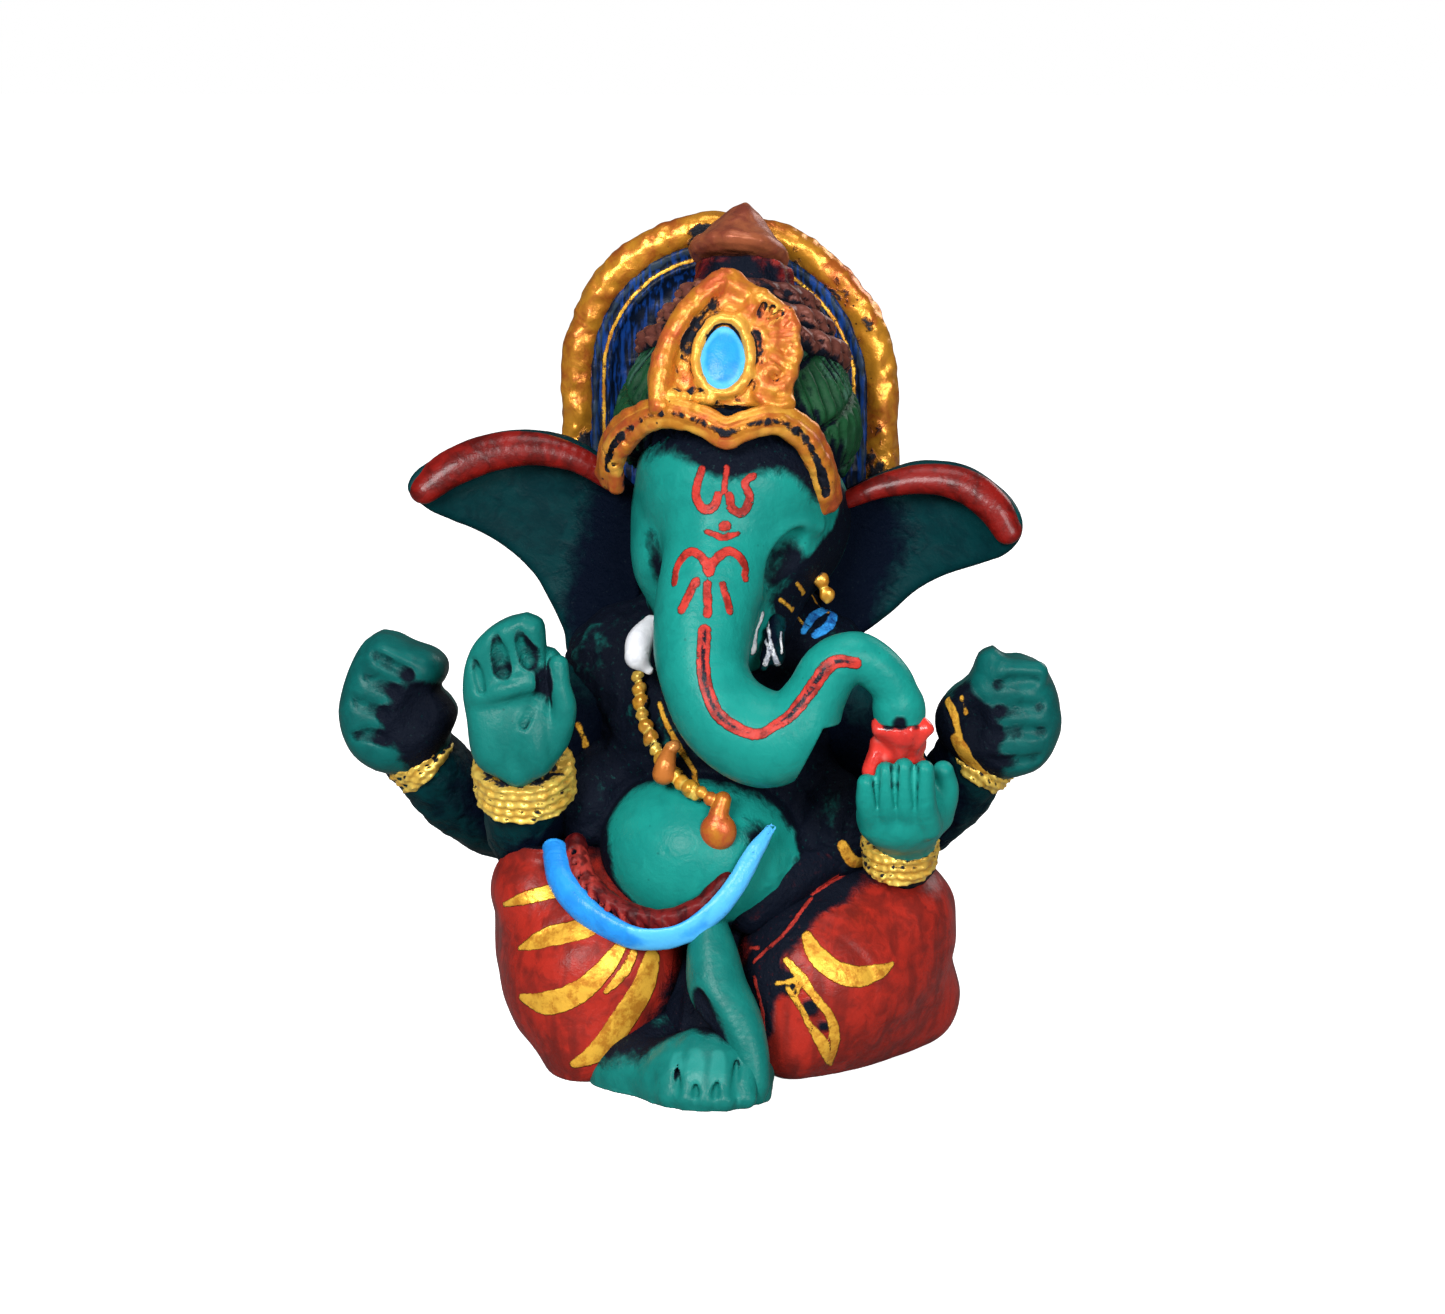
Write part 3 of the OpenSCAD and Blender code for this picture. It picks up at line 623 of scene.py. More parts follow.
def paint(name, base, light, shade, wash_and_shade_range, mottle=0.5, pits=0.35, rough=0.36, metal=0.0, streak=None,
          drybrush_and_highlight_amount=0.6, specular=0.2, coat=0.0, lines=(), patchy=0.34):
    """Brushed paint over a casting, darkened in its recesses and between pieces by a dark antiquing wash
    together with painted shade, with painted glints in the darkest parts.

    base, light and shade are the paint where it lies flat, on edges (dry-brushed paint with painted
    highlight), and in thin patches. wash_and_shade_range gives the amounts between which the near-black of
    wash and painted shade takes over, and patchy how unevenly it does. streak is (turn, size, strength).
    lines are the kinds of painted line that the piece carries.
    """
    n = Nodes(name)
    big = n.noise(BIG, 3, 0.6)
    mid = n.noise(MIDDLING, 4, 0.6, 0.6)
    fine = n.noise(FINE, 3, 0.6)
    edge, cavity, recess, shade_and_wash = [n.value(v) for v in ("edge", "cavity", "recess", "shade_and_wash")]
    # How much near-black lies over the paint: dark wash together with painted shade, from the crowding round
    # each place, the hollows of the clay and the painted shade blobs, made uneven by noise.
    wash_and_shade_amount = n.add((recess, 1.0), (cavity, 0.30), shade_and_wash, (mid, patchy), (fine, 0.12), -0.06 - 0.5 * patchy)
    wash_and_shade_at = n.step(wash_and_shade_amount, wash_and_shade_range[0], wash_and_shade_range[1])
    thin_patch = n.step(n.add((big, 0.5), (mid, 0.5)), 0.42, 0.62)
    colour = n.mix(n.math("MULTIPLY", thin_patch, mottle), base, shade)
    # Paler paint on convex edges and raised lumps: dry-brushed paint together with painted highlights.
    drybrush_and_highlight = n.math("MULTIPLY", n.step(n.add(edge, (mid, 0.7), -0.35), 0.25, 0.75), drybrush_and_highlight_amount)
    colour = n.mix(drybrush_and_highlight, colour, light)
    if streak:
        turn, size, strength = streak
        line = n.noise(size, 2, 0.5, 0.3, n.stretched((1, 1, 0.12), turn))
        colour = n.mix(n.math("MULTIPLY", n.step(line, 0.46, 0.66), strength), colour, shade)
    specks = n.step(n.add(n.cells(1.1), (n.noise(3.0), 0.5)), 0.22, 0.34, pits, 0.0)
    colour = n.mix(specks, colour, NIGHT)
    # Painted glints: pale specks at this noise's peaks are mixed into the near-black of wash and painted
    # shade as painted highlights; the same noise lowers the roughness there.
    glint = n.step(n.noise(0.5, 3, 0.7), 0.60, 0.72)
    wash_and_shade_colour = n.mix(n.math("MULTIPLY", glint, 0.35), NIGHT, n.mix(0.35, NIGHT, base))
    colour = n.mix(wash_and_shade_at, colour, wash_and_shade_colour)
    height = n.add((mid, 0.25), (fine, 0.12), (n.math("MULTIPLY", n.noise(0.7, 4, 0.7), wash_and_shade_at), 0.9))
    bare = n.math("SUBTRACT", 1.0, wash_and_shade_at)
    for kind in lines:
        near = n.add(n.value(kind), (n.noise(0.8, 3, 0.7), 0.34), -0.17)
        on = n.step(near, 0.07, -0.05)
        thin = n.step(n.add((n.noise(0.9, 4, 0.75), 1.0), (near, 0.35)), 0.56, 0.66, 1.0, 0.15)
        on = n.math("MULTIPLY", on, thin)
        dark, pale = LINE_PAINT[kind]
        brushed_on = n.mix(n.step(n.noise(1.4, 4, 0.7), 0.36, 0.58), dark, pale)
        if kind == "red_line":
            middle_of_line = n.step(near, -0.48, -0.32, 1.0, 0.0)
            core = n.math("MULTIPLY", middle_of_line, n.step(n.noise(0.9, 3, 0.7), 0.40, 0.52))
            brushed_on = n.mix(core, brushed_on, NIGHT)
        colour = n.mix(on, colour, brushed_on)
        height = n.add(height, (on, 0.6))
        if kind == "gold_line":
            gilt = on
    gloss = n.step(wash_and_shade_at, 0.0, 1.0, rough, n.math("SUBTRACT", 0.72, n.math("MULTIPLY", glint, 0.5)))
    shine = None
    if metal:
        shine = n.math("MULTIPLY", bare, metal)
    elif "gold_line" in lines:
        shine = n.math("MULTIPLY", gilt, 0.35)
    return n.finish(colour, gloss, n.bump(height, PAINT_HEIGHT), shine, specular, coat)


# SKIN_MID, SKIN_DIM and SKIN_DARK are darker copies of the teal: painted shade on the palm, shin and foot, on
# the fists, and on the ears, arms and right tusk, along with the dark wash there.
SKIN = paint("teal_skin", (0.008, 0.225, 0.190), (0.030, 0.34, 0.29), (0.004, 0.160, 0.140),
             wash_and_shade_range=(0.58, 0.84),
             specular=0.12, lines=LINES)
SKIN_MID = paint("teal_skin_shaded", (0.006, 0.150, 0.130), (0.024, 0.25, 0.22), (0.003, 0.100, 0.090),
                 wash_and_shade_range=(0.56, 0.82),
                 specular=0.14, lines=LINES)
SKIN_DIM = paint("teal_skin_dim", (0.003, 0.095, 0.088), (0.012, 0.17, 0.155), (0.002, 0.050, 0.050),
                 wash_and_shade_range=(0.54, 0.80),
                 specular=0.12, lines=LINES)
SKIN_DARK = paint("teal_skin_washed_and_shaded", (0.001, 0.026, 0.030), (0.004, 0.085, 0.080), (0.0006, 0.009, 0.014),
                  wash_and_shade_range=(0.46, 0.76), specular=0.05, rough=0.45, lines=LINES)
GOLD = paint("gold", (0.62, 0.26, 0.022), (0.98, 0.70, 0.14), (0.42, 0.10, 0.014), wash_and_shade_range=(0.48, 0.58),
             metal=0.5, rough=0.30, mottle=1.0, pits=1.0, specular=0.4, patchy=0.78)
GOLD_WARM = paint("gold_warm", (0.52, 0.19, 0.018), (0.88, 0.50, 0.07), (0.46, 0.085, 0.022),
                  wash_and_shade_range=(0.44, 0.56),
                  metal=0.35, rough=0.34, mottle=1.0, pits=1.0, specular=0.3, patchy=0.78)
GOLD_DARK = paint("gold_washed", (0.66, 0.32, 0.03), (0.98, 0.78, 0.16), (0.32, 0.10, 0.015),
                  wash_and_shade_range=(0.40, 0.50),
                  metal=0.4, rough=0.30, mottle=0.8, pits=0.9, specular=0.4, patchy=1.0)
COPPER = paint("copper", (0.30, 0.085, 0.035), (0.55, 0.24, 0.12), (0.16, 0.03, 0.02), wash_and_shade_range=(0.60, 0.78),
               metal=0.2, rough=0.38, mottle=0.8)
COPPER_BRIGHT = paint("copper_bright", (0.50, 0.16, 0.03), (0.80, 0.36, 0.10), (0.24, 0.06, 0.015),
                      wash_and_shade_range=(0.70, 0.9), metal=0.25, rough=0.3)
ROPE = paint("copper_washed", (0.16, 0.05, 0.035), (0.42, 0.17, 0.12), (0.05, 0.012, 0.012),
             wash_and_shade_range=(0.38, 0.52),
             metal=0.2, rough=0.38, mottle=0.8, patchy=0.7)
RED = paint("red_cloth", (0.34, 0.020, 0.012), (0.56, 0.035, 0.022), (0.13, 0.012, 0.009), wash_and_shade_range=(0.60, 0.84),
            mottle=0.8, streak=((0, 80, 0), 1.6, 0.7), pits=0.3, specular=0.15,
            lines=("red_line", "gold_line"))
EAR_RED = paint("red_rim", (0.18, 0.006, 0.004), (0.40, 0.03, 0.02), (0.05, 0.002, 0.0015), wash_and_shade_range=(0.60, 0.84),
                mottle=0.9, rough=0.34, coat=0.08)
DARK_RED = paint("dark_red", (0.14, 0.008, 0.008), (0.42, 0.04, 0.03), (0.03, 0.002, 0.003),
                 wash_and_shade_range=(0.42, 0.62),
                 mottle=0.9, rough=0.4, specular=0.12, streak=((0, 70, 0), 0.8, 0.8),
                 lines=("red_line", "gold_line"))
BLUE = paint("blue", (0.020, 0.27, 0.76), (0.12, 0.56, 0.92), (0.012, 0.15, 0.50), wash_and_shade_range=(0.74, 0.92),
             mottle=0.5, rough=0.3)
LEAF = paint("leaf_green", (0.008, 0.055, 0.020), (0.05, 0.12, 0.09), (0.003, 0.022, 0.012),
             wash_and_shade_range=(0.38, 0.60),
             mottle=0.6, rough=0.5, specular=0.1, patchy=0.5)
PANEL = paint("panel", (0.002, 0.006, 0.018), (0.10, 0.17, 0.24), (0.006, 0.05, 0.26), wash_and_shade_range=(0.50, 0.70),
              mottle=0.0, rough=0.4, specular=0.15, streak=((0, 38, 0), 0.4, 0.8), drybrush_and_highlight_amount=0.25,
              lines=("gold_line",),
              patchy=0.6)
WHITE = paint("white", (0.72, 0.73, 0.76), (0.9, 0.9, 0.92), (0.42, 0.43, 0.48), wash_and_shade_range=(0.66, 0.84), pits=0.4)
SWEET_RED = paint("sweet_red", (0.62, 0.035, 0.025), (0.85, 0.22, 0.19), (0.30, 0.01, 0.01),
                  wash_and_shade_range=(0.66, 0.84),
                  rough=0.25, coat=0.4)


# ---------------------------------------------------------------- halo

HALO_X, HALO_Y, HALO_Z, HALO_R = 1.0, 11.6, 64.6, 15.2
HALO_FOOT = 42.0
ROD_R = 1.72
# The depth that the crown, head, ears and body are cut back to, in front of the halo.
HALO_FRONT = 10.4


def arch(x, z, r):
    """How far outside an arch of radius r a place is, as seen from the front. The top leans a little."""
    x = x - HALO_X + 0.4 + 0.045 * np.maximum(z - HALO_Z, 0)
    return np.where(z > HALO_Z, np.hypot(x, z - HALO_Z), np.abs(x)) - r


def whole(low, high, dist):
    """A shape made of one distance inside a box."""
    return [(np.array(low, float), np.array(high, float), dist)]


def cut_below(clay, level):
    clay.keep(lambda x, y, z: level - z + 0 * x + 0 * y)


def front_of_halo(clay):
    clay.keep(lambda x, y, z: y - HALO_FRONT + 0 * x + 0 * z)


def halo():
    low, high = (-16.5, 9.4, 41.4), (18.5, 13.9, 82)
    rim = Clay(low, high, 0.25)
    rim.add(whole(low, high, lambda x, y, z: np.sqrt(
        arch(x, z, HALO_R) ** 2 + (y - HALO_Y) ** 2 + 0 * z) - ROD_R))
    rim.rough(0.16, 2.2).rough(0.17, 0.8)
    cut_below(rim, HALO_FOOT)
    cast(rim, "halo_rim", "gold_paint", GOLD,
         [(16.5, 9, 60, 3.0, 0.16), (16.4, 9, 55.4, 2.6, 0.42), (-12.6, 9.5, 58, 2.2, 0.5),
          (-1.0, 9.4, 78.6, 2.2, 0.5),
          (14.6, 9, 71, 2.2, 0.2), (-12.8, 9.4, 65, 1.6, 0.4), (12.2, 9.4, 74, 1.8, 0.3)])

    plate = Clay((-14.5, 9.6, 41.4), (16.5, 13.4, 80), 0.3)

    def body(x, y, z):
        u = arch(x, z, HALO_R - 1.3)
        front = HALO_Y - 1.0 + 0 * x
        front = front - 0.5 * np.exp(-((u + 1.9) / 0.35) ** 2) - 0.3 * np.exp(-((u + 0.4) / 0.3) ** 2)
        front = front + 0.25 * smooth(-2.4, -3.4, u)
        return np.maximum(np.maximum(u, front - y), y - HALO_Y - 1.2)

    plate.add(whole((-13.6, 10, 42), (15.6, 12.9, 79), body))
    plate.rough(0.12, 0.9).rough(0.08, 0.5)
    cut_below(plate, HALO_FOOT)
    radius = HALO_R - 2.7
    top = [(HALO_X - 0.4 - radius * math.cos(t) - 0.045 * radius * math.sin(t), HALO_Z + radius * math.sin(t),
            0.2)
           for t in np.radians(range(0, 181, 15))]
    sides = [(top[0][0], 50.0, 0.2), *top, (top[-1][0], 50.0, 0.2)]
    cast(plate, "halo_plate", "dark_panel_paint", PANEL, [], [("gold_line", sides)])


# ---------------------------------------------------------------- crown

CROWN_FOOT = np.array([2.2, -1.5, 57.5])
CROWN_TURN = turned((-18, 3, 0))


def turned_profile(low, high, profile, relief=None):
    """A turned shape about the crown's axis from (radius, height) points."""
    prof = np.array(profile, float)

    def dist(x, y, z):
        a, b, h = local(x, y, z, CROWN_FOOT, CROWN_TURN)
        r = np.hypot(a, b)
        if relief is not None:
            r = r - relief(np.arctan2(a, -b), h)
        return outline_distance(prof, r, h)

    return whole(low, high, dist)


def crown():
    low, high = (-11.0, -13.0, 53.5), (15.5, 10.8, 71.5)
    leaf = Clay(low, high, 0.25)

    def ridges(a, h):
        side = np.abs(a) - 0.75
        swirl = np.sin(46.0 * side + 2.4 * h + 2.2 * np.sin(0.5 * h + 3 * side))
        split = np.sin(3.4 * side - 0.42 * h + 0.9)
        return 0.30 * swirl * smooth(0.1, 0.5, np.abs(split)) - 0.55 * np.exp(-(split / 0.14) ** 2)

    leaf.add(turned_profile(low, high, [
        (0, 0), (10.4, 0), (11.5, 2), (11.9, 4.5), (11.2, 7.5), (9.8, 10.2), (9.0, 10.6), (0, 10.6)], ridges))
    leaf.rough(0.10, 0.9)
    front_of_halo(leaf)
    cast(leaf, "crown_leaf_tier", "green_leaf_paint", LEAF,
         [(-4, -11, 61.5, 3.0, 0.5), (2, -12, 62, 3.0, 0.6), (8, -10.5, 61.5, 3.0, 0.5),
          (12.6, -6, 58, 2.6, 0.3)])

    around_ropes = (-8.8, -9.5, 63), (14.5, 10.8, 77)
    heights, radii = (11.4, 13.9, 16.2), (9.0, 7.3, 5.6)
    for i, name in enumerate(("crown_lower_rope", "crown_middle_rope", "crown_upper_rope")):
        h0, r0 = heights[i], radii[i]
        rope = Clay(*around_ropes, 0.25)

        def twist(a, h, h0=h0, r0=r0):
            strands = 0.26 * np.sin(a * round(r0 * 3.1) + 1.9 * (h - h0))
            return strands - 0.30 * np.exp(-((h - h0) / 0.25) ** 2)

        ring = [(r0 + 1.45 * math.cos(t), h0 + 1.35 * math.sin(t)) for t in np.radians(range(-90, 91, 15))]
        rope.add(turned_profile(*around_ropes, [(0, h0 - 1.35), *ring, (0, h0 + 1.35)], twist))
        rope.rough(0.16, 0.8)
        front_of_halo(rope)
        cast(rope, name, "copper_paint", ROPE, [(2.5, -4, 70, 12.0, 0.14)])

    around_neck = (-5.2, -2.6, 71.5), (9.6, 10.8, 79.4)
    neck = Clay(*around_neck, 0.25)
    neck.add(turned_profile(*around_neck, [
        (0, 15), (5.2, 15), (5.2, 16.9), (4.8, 18.6), (4.7, 20.0), (0, 20.0)],
        lambda a, h: 0.16 * np.sin(a * 9 + h) - 0.5 * np.sin(a)))
    neck.rough(0.12, 0.8)
    front_of_halo(neck)
    # Painted shade: the neck is darkened all over, where it lies under the overhang of the finial.
    cast(neck, "crown_neck", "dark_red_paint", DARK_RED, [(2.4, 0, 76, 6.0, 0.38)])

    foot = np.array([2.1, 4.6, 77.5])
    lean = turned((-24, 5, 0))
    around_top = (-4.4, -1.6, 73.6), (8.8, 10.6, 83.4)
    top = Clay(*around_top, 0.2)
    profile = np.array([(0, -0.9), (3.7, -0.7), (4.6, -0.4), (5.0, 0.15), (4.8, 0.75), (4.0, 1.6), (3.1, 2.7),
                        (2.3, 3.7),
                        (1.5, 4.6), (0.8, 5.2), (0.3, 5.5), (0, 5.55)])

    def cone(x, y, z):
        a, b, h = local(x, y, z, foot, lean)
        return outline_distance(profile, np.hypot(a, b) - 0.14 * np.sin(3 * np.arctan2(a, -b) + 1), h)

    top.add(whole(*around_top, cone))
    top.rough(0.12, 1.2)
    cast(top, "crown_finial", "copper_paint", COPPER)


# ---------------------------------------------------------------- plaque and diadem

PLAQUE = np.array([1.9, -11.8, 68.5])
# It stands on edge and leans back by 22 degrees.
PLAQUE_LEAN = (90 - 22, 0, 0)
PLAQUE_TURN = turned(PLAQUE_LEAN)


def on_plaque(u, v, out=0.0):
    """A place on the plaque's face: u to the right, v up, out to the front, from its middle."""
    return tuple(PLAQUE + PLAQUE_TURN @ np.array([u, v, out]))


def on_plaque_line(points):
    return [on_plaque(*p) for p in points]


def plaque():
    low, high = (-6.8, -15.4, 58.4), (10.8, -2.4, 79.4)
    clay = Clay(low, high, 0.2)
    outline = spline([(-6.9, -3.6), (-6.9, -1.0), (-6.2, 2.4), (-4.4, 5.4), (-1.8, 8.2), (0.2, 9.4),
                      (2.0, 8.6),
                      (4.0, 7.0), (5.8, 5.8), (6.8, 3.4), (6.9, 0.8), (6.4, -1.4), (6.6, -3.8)], 4)

    def body(x, y, z):
        u, v, w = local(x, y, z, PLAQUE, PLAQUE_TURN)
        side = outline_distance(outline, u, v)
        front = w + 0.55 + 0.022 * u * u + 0.12 * np.maximum(-v - 2, 0)
        return np.maximum(np.maximum(side, front), -6 - w)

    clay.add(whole(low, high, body))
    # The plain thick band up the left side, to the tip.
    clay.add(tube(on_plaque_line([(-5.9, -3.8, -1.0), (-5.8, -0.6, -0.7), (-4.9, 2.8, -0.5),
                                  (-3.1, 5.8, -0.3),
                                  (-0.9, 7.9, -0.4), (0.6, 8.6, -0.8)]), [1.1, 1.15, 1.1, 1.05, 1.0, 0.8], 5),
             0.9)
    # Scrolls and shells on the right side.
    for line, r in (
            ([(1.0, 7.7), (2.2, 6.9), (2.6, 5.8), (2.0, 4.9)], 0.75),
            ([(3.6, 6.9), (4.6, 6.0), (4.4, 4.7), (3.4, 4.0)], 0.85),
            ([(5.8, 5.4), (6.3, 4.0), (5.6, 2.9), (4.2, 2.6)], 0.85),
            ([(6.4, 2.6), (6.6, 1.2), (5.6, 0.4), (4.4, 1.0)], 0.8),
            ([(6.3, -0.6), (5.4, -1.8), (4.0, -1.6), (3.8, -0.4), (4.8, -0.2)], 0.75),
            ([(6.2, -3.2), (4.8, -3.6), (3.6, -2.8)], 0.8)):
        clay.add(tube(on_plaque_line([(*p, -0.75 - 0.02 * p[0] ** 2) for p in line]),
                      [r * s for s in np.linspace(0.9, 1.05, len(line))], 4), 0.6)
    for a in range(-35, 75, 12):
        c, s = math.cos(math.radians(a)), math.sin(math.radians(a))
        clay.cut(tube(on_plaque_line([(2.6 + 0.6 * c, 2.4 + 1.2 * s, 0.1),
                                      (2.4 + 4.3 * c, 2.2 + 4.0 * s, -0.7)]),
                      [0.22, 0.30]), 0.2)
    # The rim round the stone, and its seat.
    gem = (0.0, 0.6)
    ring = [(gem[0] + 2.55 * math.cos(t), gem[1] + 3.6 * math.sin(t) * (1 + 0.10 * math.sin(t)), -0.3)
            for t in np.radians(range(0, 361, 24))]
    clay.add(tube(on_plaque_line(ring), 0.55, 3), 0.5)
    clay.cut(egg(on_plaque(gem[0], gem[1], 0.4), (2.3, 3.35, 1.0), PLAQUE_LEAN), 0.15)
    # Beads at the lower left, and a curl with an open eye at the lower right.
    for u in (-4.6, -3.5, -2.3, -1.1):
        clay.add(egg(on_plaque(u, -3.4 - 0.1 * u, -0.5), 0.6), 0.3)
    clay.cut(egg(on_plaque(5.0, -1.1, 0.3), (0.55, 0.55, 1.4), PLAQUE_LEAN), 0.1)
    clay.cut(tube(on_plaque_line([(2.6, -2.3, 0.1), (4.2, -2.7, 0.0)]), [0.4, 0.3]), 0.2)
    clay.rough(0.10, 0.9).rough(0.07, 0.5)
    cast(clay, "crown_plaque", "gold_paint", GOLD_WARM)

    stone = Clay((-1.6, -14.4, 64.0), (5.4, -9.0, 74.0), 0.15)
    stone.add(egg(on_plaque(gem[0], gem[1] - 0.3, -0.35), (2.2, 2.9, 0.75), PLAQUE_LEAN))
    stone.add(egg(on_plaque(gem[0], gem[1] + 1.0, -0.4), (1.5, 2.2, 0.6), PLAQUE_LEAN), 0.5)
    cast(stone, "crown_gem", "blue_paint", BLUE)


DIADEM = [(-9.6, -5.6, 56.8), (-8.7, -8.2, 60.3), (-5.8, -11.2, 63.1), (-2.8, -13.0, 64.0),
          (0.3, -13.8, 63.2),
          (2.4, -14.2, 62.3), (4.6, -13.8, 63.1), (7.2, -12.6, 63.3), (9.6, -10.8, 61.5), (11.0, -9.0, 58.2),
          (11.5, -7.0, 54.9)]


def diadem():
    clay = Clay((-13, -17, 52), (16.2, -2.6, 68.0), 0.2)
    swell = [1.05, 1.25, 0.95, 0.85, 0.85, 0.9, 0.85, 0.85, 1.0, 1.2, 1.05]
    upper = [(x * 1.02, y + 0.5, z + 1.05 * k) for (x, y, z), k in zip(DIADEM, swell)]
    lower = [(x * 0.99, y, z - 0.95 * k) for (x, y, z), k in zip(DIADEM, swell)]
    upper[0], upper[-1] = (-10.2, -5.4, 57.4), (12.2, -6.8, 55.4)
    lower[0], lower[-1] = (-8.8, -6.4, 56.2), (11.0, -7.4, 54.4)
    clay.add(tube(DIADEM, [0.95 * k for k in swell], 4))
    clay.add(tube(upper, [0.72 * k for k in swell], 4), 0.25)
    clay.add(tube(lower, [0.74 * k for k in swell], 4), 0.25)
    mid = spline(DIADEM, 3)[1:-1]
    clay.cut(tube([(x, y - 1.35, z + 0.1) for x, y, z in mid], 0.36, 2), 0.25)
    for x, y, z in mid[1::2]:
        clay.cut(tube([(x - 0.5, y - 1.2, z + 0.7), (x + 0.4, y - 1.3, z - 0.5)], [0.2, 0.24]), 0.2)
    clay.rough(0.14, 0.9)
    dark = [(x, y - 1.0, z + 0.05, 0.6, 0.42) for x, y, z in mid]
    cast(clay, "diadem_band", "gold_paint", GOLD_WARM, dark)


# ---------------------------------------------------------------- head

TRUNK = [
    (2.4, -6.5, 55.0, 5.6), (1.5, -9.6, 50.5, 5.5), (0.6, -12.2, 46.5, 5.0), (0.2, -14.4, 42.7, 4.6),
    (0.6, -16.2, 39.6, 4.2), (2.6, -17.4, 36.2, 4.4), (6.3, -18.0, 34.2, 4.6), (9.3, -18.4, 35.4, 3.8),
    (11.0, -18.6, 38.2, 2.9), (12.4, -18.6, 40.8, 2.7), (14.4, -18.5, 42.1, 2.45), (16.3, -18.3, 41.5, 2.25),
    (17.9, -18.1, 40.0, 2.1), (18.7, -17.9, 38.4, 2.1), (18.9, -17.7, 37.3, 2.3)]


